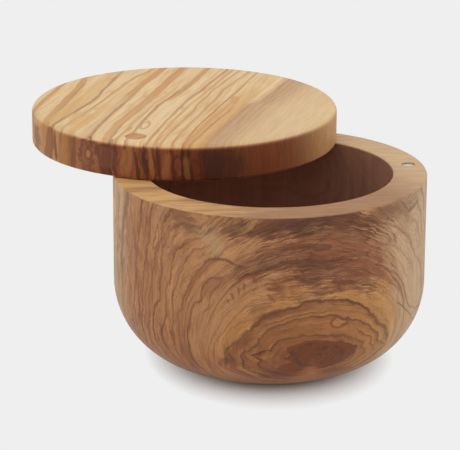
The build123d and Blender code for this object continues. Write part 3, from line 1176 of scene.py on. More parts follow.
@dataclass(frozen=True)
class BowlWood(Finish):
    """Olive wood, turned from one block, sanded and oiled: rings about a branch eye low on the front.

    The rings are surfaces about the eye's axis, so they sweep up the wall and stand nearly upright at its
    sides. The way along them is the turn about the eye, in degrees from its top towards the right. The eye's
    azimuth and dip are in degrees too, and lengths in millimetres.
    """

    name: str = "olive_bowl_oiled"
    eye_azimuth: float = 12.0
    eye_dip: float = 25.0
    eye_height: float = 17.5
    eye_radius: float = 57.0
    wall_radius: float = 60.0
    opening: float = 0.5
    sways: tuple[tuple[Any, ...], ...] = (((18, 18, 18), 0.5), ((6, 6, 6), 0.45), ((2, 2, 2), 0.34, 4.0))
    apart: tuple[float, float, float] = (71.0, 13.0, 37.0)
    fold_waves: float = 4.5
    # Tone of the ground, where across the rings it starts and is full, and how strong it gets
    steps: tuple[tuple[Tone, float, float, float], ...] = (
        (Tone.AMBER, 6, 11, 1.0),
        (Tone.GOLD, 14, 20, 1.0),
        (Tone.CLAY, 19, 28, 1.0),
        (Tone.ASH, 60, 90, 0.6),
    )
    streaks: tuple[Streak, ...] = (
        # The heart of the eye, and the rings close round it
        Streak(Tone.COCOA, 3.5, 4.0, 3.0, ((-180, 16), (180, 16)),
            ((-180, 0.8), (-150, 0.7), (-128, 0), (128, 0), (150, 0.7), (180, 0.8)), soft=3.0),
        Streak(Tone.HEART, 8.0, 1.0, 0.5,
            ((-180, 2), (-140, 4), (-125, 2.5), (-112, -1), (-100, -2), (-84, -0.6), (-70, -2.4),
             (-60, -1.8), (-50, -1), (-42, 0.3), (0, 0.3), (40, 0.6), (90, 2.5), (180, 2)), soft=0.5),
        Streak(Tone.BARK, 0.3, 1.0, 0.6,
            ((-180, 7), (-120, 5.5), (-90, 5), (-60, 5.2), (-45, 5.5), (-30, 6.2), (0, 5.5), (20, 5.5),
             (50, 6), (80, 7), (110, 8.5), (180, 9)),
            ((-120, 0.9), (-40, 0.6), (-10, 0.3), (20, 0.5), (110, 0.5))),
        Streak(Tone.COCOA, 0.1, 1.0, 0.3,
            ((-40, 8.3), (0, 8.2), (40, 8.6), (70, 9.5), (90, 10.5), (120, 12)),
            ((-46, 0), (-30, 0.6), (20, 0.4), (60, 0.8), (120, 0.8))),
        Streak(Tone.BARK, 0.2, 2.4, 0.4,
            ((-120, 15), (-110, 14), (-100, 13), (-94, 13), (-90, 13.7), (-80, 12.8), (-70, 12), (-60, 11),
             (-50, 10.9), (-40, 11.3), (-20, 10.9), (0, 10.4), (30, 10.2), (40, 10.6), (50, 11.2),
             (70, 11.5), (90, 12.5), (110, 15)),
            ((-120, 0.8), (-80, 0.9), (-50, 0.7), (0, 0.6), (40, 0.5), (110, 0.5))),
        Streak(Tone.COCOA, 0.1, 0.9, 0.3, ((-130, 12), (-100, 10), (-60, 9.4), (-40, 9.6)),
            ((-130, 0.6), (-80, 0.4), (-40, 0))),
        Streak(Tone.BARK, 0.15, 1.8, 0.4,
            ((-120, 19.5), (-110, 18), (-100, 17), (-90, 16.3), (-80, 15), (-70, 14.3), (-60, 14),
             (-50, 14.7), (-40, 15.5), (-30, 16), (-20, 16.8), (-5, 17), (10, 16.7), (20, 16.4), (30, 16),
             (60, 16), (70, 16.2), (80, 16.8), (90, 17.4), (100, 19.5), (110, 22)),
            ((-120, 0.8), (-60, 0.6), (0, 0.75), (40, 0.7), (110, 0.6))),
        Streak(Tone.COCOA, 0.1, 0.8, 0.3, ((30, 14.2), (50, 13.5), (70, 14.2), (90, 15.2), (110, 18.5)),
            ((24, 0), (40, 0.4), (70, 0.8), (110, 0.6))),
        Streak(Tone.COCOA, 0.1, 1.0, 0.3, ((-50, 16.4), (-20, 18), (0, 18.6), (20, 18.6), (40, 17.6)),
            ((-54, 0), (-20, 0.7), (10, 0.5), (44, 0))),
        Streak(Tone.RUST, 0.6, 1.6, 0.4,
            ((-125, 23.5), (-110, 20.4), (-100, 19.4), (-90, 18.6), (-80, 17.4), (-60, 16.4), (-40, 17.2)),
            ((-125, 0.9), (-70, 0.7), (-44, 0)), 0.7, 0.5),
        Streak(Tone.BARK, 0.25, 1.6, 0.6,
            ((-125, 25.5), (-110, 21.9), (-100, 20.9), (-90, 20.3), (-80, 18.8), (-70, 17.9), (-60, 17.6),
             (-50, 17.8), (-40, 18.6), (-30, 19.8), (-20, 20.8), (-10, 21.7), (-5, 22.8), (5, 22.4),
             (15, 22), (25, 20.8), (35, 19.5), (45, 18.7), (55, 18), (65, 18.2), (75, 19), (85, 20),
             (95, 20.8), (110, 23)),
            ((-125, 0.6), (-70, 0.6), (-30, 0.85), (0, 0.9), (30, 0.8), (70, 0.6), (110, 0.5)), soft=0.5),
        Streak(Tone.COCOA, 1.0, 1.6, 0.5,
            ((-36, 19), (-20, 20.4), (-8, 21), (4, 21.6), (20, 20.2), (40, 18)),
            ((-42, 0), (-30, 0.6), (-12, 0.7), (0, 0.4), (20, 0.2), (35, 0)), 0.7, 0.6),
        # Faint lines of the wall left of the eye
        Streak(Tone.RUST, 0.1, 0.8, 0.4,
            ((-120, 31), (-100, 28.5), (-90, 27.5), (-60, 23.2), (-40, 24.2), (-26, 26)),
            ((-120, 0.6), (-60, 0.5), (-24, 0.3)), soft=0.6),
        Streak(Tone.RUST, 0.1, 1.0, 0.4, ((-120, 36), (-100, 32.5), (-80, 29), (-60, 27.2), (-45, 27.8)),
            ((-120, 0.6), (-60, 0.3), (-45, 0)), soft=0.6),
        Streak(Tone.RUST, 0.2, 0.8, 0.8,
            ((-100, 38), (-84, 36), (-70, 34), (-60, 34), (-50, 35), (-42, 36.8)),
            ((-105, 0), (-70, 0.4), (-42, 0.7)), soft=0.6),
        Streak(Tone.RUST, 0.4, 0.8, 1.4,
            ((-90, 41), (-75, 40.5), (-68, 39), (-64, 37.6), (-60, 39), (-55, 41), (-48, 42)),
            ((-95, 0), (-72, 0.3), (-62, 0.6), (-50, 0.6), (-44, 0)), soft=0.7),
        Streak(Tone.COCOA, 0.25, 1.4, 1.2,
            ((-120, 43.5), (-110, 46.5), (-100, 47), (-90, 47.2), (-80, 46.8), (-72, 46.4), (-66, 44),
             (-62, 46), (-58, 47.6), (-54, 47.4), (-50, 45), (-46, 43)),
            ((-120, 1), (-100, 0.9), (-76, 0.6), (-60, 0.85), (-50, 0.6), (-42, 0)), 0.6, 0.5),
        Streak(Tone.RUST, 0.25, 0.8, 0.8,
            ((-120, 50), (-105, 52), (-90, 50), (-82, 50.5), (-70, 49), (-64, 48.5)),
            ((-120, 0.7), (-84, 0.6), (-60, 0)), soft=0.4),
        Streak(Tone.COCOA, 0.25, 0.8, 0.8,
            ((-84, 55), (-80, 53.6), (-70, 53), (-60, 53.2), (-50, 53.7), (-46, 52), (-42, 49), (-38, 46),
             (-35, 43), (-31, 41)), ((-90, 0), (-80, 0.5), (-50, 0.7), (-40, 0.85), (-33, 0.8), (-28, 0)),
            0.6, 0.4),
        Streak(Tone.RUST, 0.1, 0.5, 0.6,
            ((-118, 57), (-105, 57.5), (-92, 58), (-88, 57), (-80, 57.8), (-75, 57), (-60, 57.3),
             (-50, 58.3), (-45, 57)), ((-118, 0.8), (-70, 0.7), (-48, 0.6), (-43, 0)), 0.4, 0.3),
        Streak(Tone.COCOA, 0.12, 0.6, 1.0,
            ((-112, 59), (-104, 61), (-96, 63), (-92, 62), (-88, 60.5), (-80, 60.5), (-76, 59.5),
             (-70, 60.5), (-66, 61), (-60, 60), (-55, 59.7), (-46, 60.5)),
            ((-112, 0.8), (-90, 0.8), (-78, 0.5), (-66, 0.7), (-55, 0.5), (-44, 0.3)), 0.45, 0.3),
        Streak(Tone.COCOA, 0.15, 0.6, 0.8,
            ((-112, 63), (-103, 64.8), (-97, 66.6), (-93, 67), (-90, 66), (-84, 63.2), (-78, 63.5),
             (-74, 64.5), (-66, 64), (-55, 63)),
            ((-112, 0.7), (-95, 0.85), (-85, 0.7), (-66, 0.45), (-50, 0.4)), 0.45, 0.3),
        Streak(Tone.RUST, 0.15, 0.5, 0.7, ((-108, 68), (-98, 69.6), (-90, 68.4), (-82, 67), (-74, 66)),
            ((-108, 0.7), (-74, 0.6)), 0.4, 0.3),
        Streak(Tone.RUST, 0.15, 0.5, 0.7, ((-105, 72), (-95, 72.6), (-85, 71.2), (-75, 70)),
            ((-108, 0.7), (-74, 0.7)), 0.4, 0.3),
        Streak(Tone.RUST, 0.15, 0.5, 0.7, ((-102, 76), (-95, 76.4), (-85, 75), (-78, 73.5)),
            ((-108, 0.6), (-74, 0.7)), 0.4, 0.3),
        Streak(Tone.SMOKE, 0.4, 0.9, 0.9, ((-100, 82.4), (-88, 83.4), (-80, 80.6)),
            ((-110, 0.4), (-78, 0.5)), soft=0.6),
        # Lines on the pale right
        Streak(Tone.RUST, 0.3, 0.5, 1.0,
            ((36, 36), (40, 36.8), (44, 38), (52, 39.6), (60, 40), (70, 40), (77, 41), (82, 43), (86, 46.5),
             (89, 51.5), (92, 58), (95, 67)), ((32, 0), (42, 0.5), (80, 0.65), (95, 0.5)), 0.4, 0.5),
        Streak(Tone.RUST, 0.3, 0.8, 1.0,
            ((36, 33), (48, 33.6), (58, 35), (62, 32.6), (65, 30.6), (69, 32), (73, 34), (78, 37.2),
             (85, 41.4), (90, 46), (95, 54), (99, 64), (103, 74)),
            ((36, 0), (46, 0.5), (56, 0.5), (64, 0.7), (95, 0.7), (104, 0.4)), 0.4, 0.5),
        Streak(Tone.RUST, 0.2, 0.4, 0.8,
            ((26, 52), (38, 54.5), (45, 56), (50, 56.5), (55, 56), (60, 55.3), (68, 55.8), (75, 58),
             (84, 62)), ((26, 0.6), (40, 0.5), (84, 0.3)), 0.4, 0.5),
        Streak(Tone.RUST, 0.2, 0.3, 0.8, ((28, 45), (36, 46.4), (44, 49), (50, 50.6), (58, 52), (70, 52.6)),
            ((28, 0), (36, 0.3), (50, 0.3), (70, 0)), 0.4, 0.5),
    )
    growths: tuple[Growth, ...] = (
        Growth(Tone.RUST, 1.35, 0.42, 1.8),
        Growth(Tone.RUST, 4.1, 0.24, 4.0),
    )
    # Pale wood on the bowl's right, partly a painted sheen of the right lamp's reflection
    pale: Stain = patch(Tone.ASH, 80, 60, 34, 25, 0, 0.72, ragged=0.2, soft=0.7, fibrous=0.1)
    core: Stain = patch(Tone.HEART, 0, 0, 400, 8, 0, 1, ragged=0.1)
    flank: Stain = patch(Tone.RUST, -98, 66, 38, 22, 0, 1, soft=0.8)
    cloud: Stain = patch(Tone.BARK, 4, 41, 36, 17, 0, 1, ragged=0.25, soft=0.7)
    veins: tuple[Vein, ...] = (
        Vein(Tone.RUST, 2.6, 50, 0.2, 0.3),
        Vein(Tone.RUST, 1.9, 34, 0.2, 0.7, flank),
        Vein(Tone.COCOA, 3.4, 40, 0.15, 0.65, flank),
        Vein(Tone.GOLD, 2.6, 40, 0.4, 0.4),
    )
    grounds: tuple[Stain, ...] = (
        patch(Tone.AMBER, -112, 31, 18, 12, 0, 0.6, soft=1.2),
        patch(Tone.RUST, -112, 55, 19, 9, 0, 0.45, soft=1.2, fibrous=0.3),
        patch(Tone.COCOA, -114, 25, 9, 2.6, -22, 0.55, soft=1.0, fibrous=0.3),
        patch(Tone.COCOA, -108, 49, 24, 3.2, 0, 0.45, soft=1.2, fibrous=0.4),
        patch(Tone.AMBER, -110, 62, 18, 10, 0, 0.6, soft=1.2),
        patch(Tone.GOLD, 16, 25.5, 40, 5, 0, 0.7, soft=0.9, fibrous=0.2),
        patch(Tone.HONEY, 22, 26.5, 30, 3.6, 0, 0.5, soft=1.0, fibrous=0.4),
        patch(Tone.COCOA, 0, 13, 70, 5, 0, 0.3, soft=1.2, fibrous=0.4),
        patch(Tone.COCOA, -118, 13, 26, 6.5, 0, 0.5, soft=1.0, fibrous=0.4),
        patch(Tone.COCOA, -150, 14, 22, 6.5, 0, 0.8, soft=1.0, fibrous=0.4),
        patch(Tone.GOLD, 62, 13.5, 46, 4, 0, 0.6, soft=1.0, fibrous=0.2),
        patch(Tone.RUST, -56, 43.6, 7.5, 3.6, 0, 0.5, soft=0.8, fibrous=0.4),
        patch(Tone.GOLD, -12, 27.5, 8, 3.6, 0, 0.7, soft=0.8, fibrous=0.4),
        patch(Tone.ROSE, -42, 57, 4.6, 6.2, 10, 0.85, ragged=0.5, soft=0.9, fibrous=0.3),
        patch(Tone.AMBER, -90, 75, 26, 8, 0, 0.45, soft=1.0),
        patch(Tone.SAND, -86, 90, 24, 8, 0, 0.6, soft=0.8),
        patch(Tone.HONEY, 78, 26, 44, 10, 0, 0.45, ragged=0.2, soft=1.2, fibrous=0.3),
        # Painted sheen: pale grey on the right, partly pale wood and partly the right lamp's reflection
        patch(Tone.ASH, 92, 57, 62, 33, 0, 0.9, ragged=0.2, fibrous=0.15),
    )
    stains: tuple[Stain, ...] = (
        # The small knot beside the heart
        patch(Tone.GOLD, 17, 14.6, 5.2, 1.35, 0, 0.7, ragged=0.1, soft=0.6),
        patch(Tone.COCOA, 17.5, 14.5, 6.2, 1.7, 0, 0.8, ragged=0.15, line=0.3),
        patch(Tone.BARK, 21.5, 14.2, 2.2, 0.7, 10, 0.6, ragged=0.2, soft=0.8),
        # The smoky cloud over the eye
        patch(Tone.CLAY, -27, 46, 10, 3.4, -15, 0.5, soft=0.9, fibrous=0.4),
        patch(Tone.RUST, 5, 40, 30, 14, 0, 0.85, ragged=0.5, soft=0.8, fibrous=0.5),
        patch(Tone.RUST, -32, 41, 14, 7, 0, 0.4, ragged=0.5, soft=1.2, fibrous=0.5),
        patch(Tone.COCOA, 8, 34, 26, 5, -3, 0.35, ragged=0.4, soft=1.0, fibrous=0.5),
        patch(Tone.RUST, 36, 33.5, 18, 1.6, 3, 0.6, soft=1.0, fibrous=0.7),
        patch(Tone.RUST, 60, 38, 14, 2.4, 2, 0.4, soft=1.2, fibrous=0.7),
        patch(Tone.SMOKE, -22, 39.4, 17, 3.8, -6, 0.55, soft=1.0, fibrous=0.5),
        patch(Tone.SMOKE, 0, 32, 8, 4.4, 0, 0.45, soft=0.9, fibrous=0.5),
        patch(Tone.BARK, -15, 37.3, 24, 0.9, 0, 0.65, soft=0.9, fibrous=0.5),
        patch(Tone.BARK, -1, 36, 8, 1.8, 0, 0.5, soft=0.9, fibrous=0.7),
        patch(Tone.BARK, -14, 42.6, 11, 1.7, 4, 0.5, soft=0.9, fibrous=0.8),
        patch(Tone.BARK, -34, 41.6, 5, 1.2, -30, 0.5, soft=0.9, fibrous=0.5),
        patch(Tone.BARK, 12, 28.8, 18, 0.8, -6, 0.5, soft=0.9, fibrous=0.5),
        patch(Tone.SMOKE, 15, 47.4, 18, 1.6, 3, 0.4, soft=1.0, fibrous=0.5),
        patch(Tone.BARK, -14, 51.5, 15, 3.8, -8, 0.8, soft=0.8, fibrous=0.3),
        patch(Tone.BARK, -32, 57, 6, 3.4, -32, 0.65, ragged=0.7, soft=1.2, fibrous=0.9),
        patch(Tone.BARK, -52, 64, 9, 1.6, -4, 0.5, ragged=0.6, soft=1.2, fibrous=0.7),
        patch(Tone.BARK, 6, 51, 26, 3.4, 2, 0.8, soft=0.9, fibrous=0.4),
        patch(Tone.BARK, 28, 55.4, 12, 3, 26, 0.5, soft=0.9, fibrous=0.4),
        patch(Tone.SMOKE, 40, 62.5, 12, 3.2, 8, 0.4, soft=1.2, fibrous=0.2),
        patch(Tone.SMOKE, -28, 23, 7, 1.6, 8, 0.5, soft=0.9, fibrous=0.6),
        # Short dashes that cross the rings left of the cloud
        *(
            patch(Tone.COCOA, turn, ring, 1.9, 1.1, -72, 0.6, soft=1.0, fibrous=0.2)
            for turn, ring in ((-46, 32.4), (-42, 32.6), (-37, 33), (-33, 33.2), (-26, 34.2), (-19, 26.4),
                (-14, 27.8))
        ),
    )
    late_veins: tuple[Vein, ...] = (
        Vein(Tone.BARK, 2.4, 14, 0.3, 0.7, cloud),
        Vein(Tone.ROSE, 1.6, 14, 0.3, 0.16, cloud),
        Vein(Tone.DUSK, 3.4, 4.4, 0.5, 0.5, core),
        Vein(Tone.BARK, 1.6, 2.8, 0.3, 0.45, core),
        Vein(Tone.AMBER, 2.6, 6, 0.3, 0.2, core),
        Vein(Tone.COCOA, 0.9, 8, 0.12, 0.34),
    )

    def fill(self, tree: Tree) -> Any:
        """Rings, lines, stains, fibres and the plain grain of the rim.

        Args:
            tree: The material's tree.

        Returns:
            The shader's socket.
        """
        axis = towards(self.eye_azimuth, -self.eye_dip)
        side = towards(self.eye_azimuth + 90, 0)
        outward = towards(self.eye_azimuth, 0)
        eye = (outward * self.eye_radius + Vector((0, 0, self.eye_height))) * MM
        local = centred(tree, eye, Matrix((side, axis.cross(side), axis)).transposed().to_euler())
        place = centred(tree, Vector())
        rings, about = self.rings(tree, place, local, outward)
        x, y, _ = tree.add("SeparateXYZ", {0: local}).node.outputs
        grain = tree.add("CombineXYZ", {0: rings, 1: x, 2: y})
        fibre = drift(tree, grain, (0.5, 7, 7), 1.0, 3.0)
        blot = drift(tree, place, (5, 5, 5), 1.0, 4.0)
        unrolled = tree.add("CombineXYZ", {0: about, 1: rings})
        ground = self.ground(tree, rings)
        figure = Figure(tree, unrolled, rings, about, (-10, 140), (-180, 180), grain, blot, fibre, ground)
        figure.blotch(*self.grounds)
        for growth in self.growths:
            figure.grow(growth)
        figure.wander(*self.veins)
        figure.blotch(self.pale)
        plain = figure.colour
        for streak in self.streaks:
            figure.lay(streak)
        # The lines fade where the turn about the eye jumps back, which is under the foot
        turned = tree.add("Math", {0: about}, operation="ABSOLUTE")
        figure.keep(plain, tree.add("MapRange", {"Value": turned, "From Min": 178, "From Max": 158}, **EASED))
        figure.blotch(*self.stains)
        figure.wander(*self.late_veins)
        bands = drift(tree, grain, (2.6, 20, 20), 0.12, 3.0)
        speckle = drift(tree, place, (0.6, 0.6, 0.6), 0.08)
        figure.shade(figure.fibres(0.16), bands, speckle, drift(tree, place, (9, 9, 9), 0.05, 2.0))
        self.inside(figure, place)
        self.rim(figure, place)
        return figure.oiled()

    def rings(self, tree: Tree, place: Any, local: Any, outward: Vector) -> tuple[Any, Any]:
        """The wood's rings.

        Args:
            tree: The material's tree.
            place: Socket with the place over the foot, in millimetres.
            local: Socket with the place about the eye, in millimetres.
            outward: The way that the eye faces, level.

        Returns:
            Sockets with the distance across the rings, in millimetres, and the turn about the eye, in
            degrees.
        """
        x, y, _ = tree.add("SeparateXYZ", {0: local}).node.outputs
        wide = tree.add("Math", {0: x}, operation="ABSOLUTE")
        reach = off_axis(tree, local)
        other = tree.add("VectorMath", {0: local, 1: self.apart}, operation="ADD")
        # Close to the eye the rings are ovals twice as wide as they are tall
        oval = {"Value": reach, "From Min": 32, "From Max": 46, "To Min": 0.48, "To Max": 0.94}
        # At the flanks they straighten and climb the wall
        climb = {"Value": wide, "From Min": 40, "From Max": 58, "To Min": 1.0, "To Max": 0.35}
        swayed_x = {0: swayed(tree, x, local, self.sways), 1: tree.add("MapRange", oval)}
        swayed_y = {0: swayed(tree, y, other, self.sways), 1: tree.add("MapRange", climb)}
        x, y = (tree.add("Math", way, operation="MULTIPLY") for way in (swayed_x, swayed_y))
        flat = tree.add("CombineXYZ", {0: x, 1: y})
        rings = tree.add("VectorMath", {0: flat}, operation="LENGTH")
        depth = tree.add("VectorMath", {0: place, 1: outward}, operation="DOT_PRODUCT")
        depth = tree.add("Math", {0: self.wall_radius, 1: depth}, operation="SUBTRACT")
        rings = tree.add("Math", {0: depth, 1: self.opening, 2: rings}, operation="MULTIPLY_ADD")
        # Folds that run outwards from the eye kink neighbouring rings alike
        way = tree.add("VectorMath", {0: flat}, operation="NORMALIZE")
        along = tree.add("CombineXYZ", {2: rings})
        waves = (self.fold_waves, self.fold_waves, 0.0)
        way = tree.add("VectorMath", {0: way, 1: waves, 2: along}, operation="MULTIPLY_ADD")
        fold = drift(tree, way, (1.0, 1.0, 16.0), 0.7, 2.0)
        strength = tree.add("MapRange", {"Value": reach, "From Min": 2, "From Max": 24})
        calm = tree.add("MapRange", {"Value": reach, "From Min": 54, "From Max": 28, "To Min": 0.15})
        strength = tree.add("Math", {0: strength, 1: calm}, operation="MULTIPLY")
        rings = tree.add("Math", {0: fold, 1: strength, 2: rings}, operation="MULTIPLY_ADD")
        about = tree.add("Math", {0: x, 1: y}, operation="ARCTAN2")
        return rings, tree.add("Math", {0: about, 1: math.degrees(1)}, operation="MULTIPLY")

    def ground(self, tree: Tree, rings: Any) -> Any:
        """The ground colour, which pales from the eye outwards.

        Args:
            tree: The material's tree.
            rings: Socket with the distance across the rings, in millimetres.

        Returns:
            The colour's socket.
        """
        colour = linear(Tone.COCOA.value)
        for tone, start, end, most in self.steps:
            limits = {"Value": rings, "From Min": start, "From Max": end, "To Max": most}
            share = tree.add("MapRange", limits, **EASED)
            colour = tree.add("Mix", {0: share, 6: colour, 7: linear(tone.value)}, data_type="RGBA")
        return colour

    def inside(self, figure: Figure, place: Any) -> None:
        """Calm the figure in the well and mix it towards one darker brown, partly the wood's own colour and
        partly painted shade from the lid over it.

        Args:
            figure: The bowl's figure.
            place: Socket with the place over the foot, in millimetres.
        """
        tree = figure.tree
        radius = Space.of("bowl").radius
        limits = {"From Min": radius - 9, "From Max": radius - 12, "To Max": 0.84}
        within = tree.add("MapRange", {"Value": off_axis(tree, place), **limits})
        _, _, height = tree.add("SeparateXYZ", {0: place}).node.outputs
        above = tree.add("MapRange", {"Value": height, "From Min": 4, "From Max": 8})
        share = tree.add("Math", {0: above, 1: within}, operation="MULTIPLY")
        # Painted shade: the well goes towards one darker brown, partly its own colour and partly the shade
        # under the lid
        figure.mix(share, Tone.WELL)
        upright = drift(tree, place, (2.4, 2.4, 34), 0.14, 3.0)
        figure.shade(tree.add("Math", {0: upright, 1: share}, operation="MULTIPLY"))

    def rim(self, figure: Figure, place: Any) -> None:
        """Lay the straight fine grain that the rim's flat shows.

        Args:
            figure: The bowl's figure.
            place: Socket with the place over the foot, in millimetres.
        """
        tree = figure.tree
        top = Space.of("bowl").top
        x, _, height = tree.add("SeparateXYZ", {0: place}).node.outputs
        flat = tree.add("MapRange", {"Value": height, "From Min": top - 0.5, "From Max": top - 0.15})
        grain = drift(tree, place, (12, 1.2, 2), 0.17, 4.0)
        broad = drift(tree, place, (24, 3.8, 4), 1.5, 3.0)
        # Golden wood on the left turns to rosy wood on the right, in long tongues
        tongues = tree.add("Math", {0: x, 1: 1 / 40, 2: broad}, operation="MULTIPLY_ADD")
        rosy = tree.add("MapRange", {"Value": tongues, "From Min": -1.7, "From Max": 0.3}, **EASED)
        right = tree.add("VectorMath", {0: place, 1: (1.0, 0.6, 0.0)}, operation="DOT_PRODUCT")
        pale = tree.add("MapRange", {"Value": right, "From Min": 22, "From Max": 54})
        colour = linear(Tone.RIM_GOLD.value)
        for share, tone in ((rosy, Tone.RIM_ROSE), (pale, Tone.RIM_PALE)):
            colour = tree.add("Mix", {0: share, 6: colour, 7: linear(tone.value)}, data_type="RGBA")
        light = tree.add("Math", {0: 1.0, 1: grain}, operation="ADD")
        colour = tree.add("Mix", {0: 1.0, 6: colour, 7: light}, data_type="RGBA", blend_type="MULTIPLY")
        figure.colour = tree.add("Mix", {0: flat, 6: figure.colour, 7: colour}, data_type="RGBA")


@dataclass(frozen=True)
class PlugWood(Finish):
    """Olive dowel, sanded flush and oiled: bands across the lid's grain, and a painted shade line round its
    edge.
    """

    middle: Vector
    radius: float
    name: str = "olive_plug_oiled"
    grain_turn: float = math.radians(-45)
    # Width of the painted shade ring round the plug's edge, in millimetres
    glue_line: float = 0.35
    streaks: tuple[Streak, ...] = (
        Streak(Tone.PLUM, 0.9, 0.3, 1.4, ((-5, -3.2), (0, -2.9), (5, -2.5)), ((-5, 0.7), (5, 0.55))),
        Streak(Tone.GOLD, 0.7, 1.0, 1.0, ((-5, -0.6), (5, -0.2)), ((-5, 0.8), (5, 0.5))),
        Streak(Tone.PLUM, 0.5, 1.0, 0.3, ((-5, 2.5), (0, 2.9), (5, 3.1)), ((-5, 0.5), (5, 0.6))),
    )

    def fill(self, tree: Tree) -> Any:
        """Bands, fibres and the painted shade line round the edge.

        Args:
            tree: The material's tree.

        Returns:
            The shader's socket.
        """
        local = centred(tree, self.middle, (0, 0, self.grain_turn))
        x, y, _ = tree.add("SeparateXYZ", {0: local}).node.outputs
        across = swayed(tree, x, local, (((2, 5, 5), 0.3, 2.0),))
        fibre = drift(tree, local, (0.35, 4, 4), 1.0, 3.0)
        ground = linear(Tone.TAN.value)
        figure = Figure(tree, local, across, y, (-5, 5), (-5, 5), local, fibre, fibre, ground)
        for streak in self.streaks:
            figure.lay(streak)
        figure.shade(figure.fibres(0.05))
        # Painted shade: a dark ring along the plug's edge, where the gap round it holds shadow
        limits = {"From Min": self.radius - 2 * self.glue_line, "From Max": self.radius, "To Max": 0.8}
        gap_shade = tree.add("MapRange", {"Value": off_axis(tree, local), **limits}, **EASED)
        figure.mix(gap_shade, Tone.PLUM)
        return figure.oiled()


@dataclass(frozen=True)
class SmallPart(Finish):
    """A small round part: its own middle, cloudy patches, and fine marks that run round it."""

    middle: Vector
    name: str = "small_part"
    colour: str = "C4C5C6"
    cloud: str = "A6A8AA"
    metallic: float = 1.0
    smooth: float = 0.25
    rough: float = 0.45
    mark: float = 0.12
    proud: float = 0.004

    def fill(self, tree: Tree) -> Any:
        """Clouds in the colour, and marks in the roughness and the bump.

        Args:
            tree: The material's tree.

        Returns:
            The shader's socket.
        """
        local = centred(tree, self.middle)
        _, _, z = tree.add("SeparateXYZ", {0: local}).node.outputs
        round_it = tree.add("CombineXYZ", {0: off_axis(tree, local), 2: z})
        marks = drift(tree, round_it, (self.mark, 1, self.mark), 1.0)
        clouds = drift(tree, local, (1.2, 1.2, 1.2), 1.0, 2.0)
        share = tree.add("MapRange", {"Value": clouds, "From Min": -0.6, "From Max": 1.0})
        shades = {0: share, 6: linear(self.colour), 7: linear(self.cloud)}
        colour = tree.add("Mix", shades, data_type="RGBA")
        worn = tree.add("Math", {0: marks, 1: clouds}, operation="ADD")
        limits = {"From Min": -1.2, "From Max": 1.2, "To Min": self.smooth, "To Max": self.rough}
        rough = tree.add("MapRange", {"Value": worn, **limits})
        bump = tree.add("Bump", {"Height": marks, "Strength": 0.4, "Distance": self.proud * MM})
        inputs = {"Base Color": colour, "Metallic": self.metallic, "Normal": bump}
        return tree.add("BsdfPrincipled", {**inputs, "Roughness": rough})


@dataclass(frozen=True)
class ZincSteel(SmallPart):
    """Carbon steel, cold headed and thread rolled, bright zinc plated: pale, faintly blue, softly shiny."""

    name: str = "zinc_plated_steel"
    colour: str = "C3C7CA"
    cloud: str = "A9ABA6"


@dataclass(frozen=True)
class SatinBrass(SmallPart):
    """Brass sheet, stamped and tumbled: a warm yellow with a satin bloom."""

    name: str = "tumbled_brass"
    colour: str = "D9B565"
    cloud: str = "B8924B"
    smooth: float = 0.3
    rough: float = 0.5


@dataclass(frozen=True)
class NickelPlate(SmallPart):
    """Sintered magnet, barrel plated with nickel: light grey, a little cloudy, with hairline scuffs."""

    name: str = "nickel_plated_magnet"
    colour: str = "D2D6D5"
    cloud: str = "B4B9B8"
    smooth: float = 0.28
    rough: float = 0.44
    mark: float = 0.2


@dataclass(frozen=True)
class DarkNylon(SmallPart):
    """Nylon, moulded with a black colourant: matt, with paler rings where the lid has rubbed it."""

    name: str = "moulded_dark_nylon"
    colour: str = "2A2725"
    cloud: str = "3A3633"
    metallic: float = 0.0
    smooth: float = 0.45
    rough: float = 0.65
    proud: float = 0.01


# ---------------------------------------------------------------- Pieces


@dataclass
class Bowl:
    """The turned bowl. Lengths are in millimetres."""

    wall: float = 13.0
    floor: float = 12.0
    corner_radius: float = 32.3
    corner_spans: int = 28
    foot_setback: float = 24.9
    foot_edge: float = 0.3
    well_corner: float = 20.0
    rim_edge: float = 0.6
    turning_radius: float = 2.08
    turning_depth: float = 3.0
    pilot_radius: float = 1.35
    pilot_spare: float = 1.0
    magnet_gap: float = 0.2

    def section(self, space: Space) -> list[Vector]:
        """The half section, from the foot round to the floor of the well.

        Args:
            space: The space that the bowl fills.

        Returns:
            Its points, in millimetres.
        """
        foot = space.radius - self.foot_setback
        centre = space.radius - self.corner_radius
        top = math.sqrt(self.corner_radius**2 - (self.corner_radius - self.foot_setback) ** 2)
        start = math.atan2(-top, foot - centre)
        mouth = space.radius - self.wall
        corners = [
            Corner(0, 0),
            Corner(foot - self.foot_edge, 0),
            *arc((centre, top), self.corner_radius, start, 0.0, self.corner_spans),
            Corner(space.radius, space.top, self.rim_edge),
            Corner(mouth, space.top, self.rim_edge),
            Corner(mouth, self.floor, self.well_corner),
            Corner(0, self.floor),
        ]
        return rounded(corners)

    def build(self, shop: Workshop) -> None:
        """Turn the bowl and drill it for the screw and the magnet.

        Args:
            shop: The tools.
        """
        space = Space.of("bowl")
        piece = shop.lathe.turn("bowl_turned", self.section(space), Vector(), BowlWood().material())
        screw = Space.of("pivot_screw")
        pilot = space.top - self.turning_depth
        depth = pilot - screw.bottom + self.pilot_spare
        shop.drill.bore(piece, screw.middle, space.top, self.turning_radius, self.turning_depth)
        shop.drill.bore(piece, screw.middle, pilot, self.pilot_radius, depth)
        magnet = Space.of("rim_magnet")
        hole = magnet.radius + self.magnet_gap
        shop.drill.bore(piece, magnet.middle, space.top, hole, space.top - magnet.bottom)
        settle(piece, Body.BASE, "bowl")


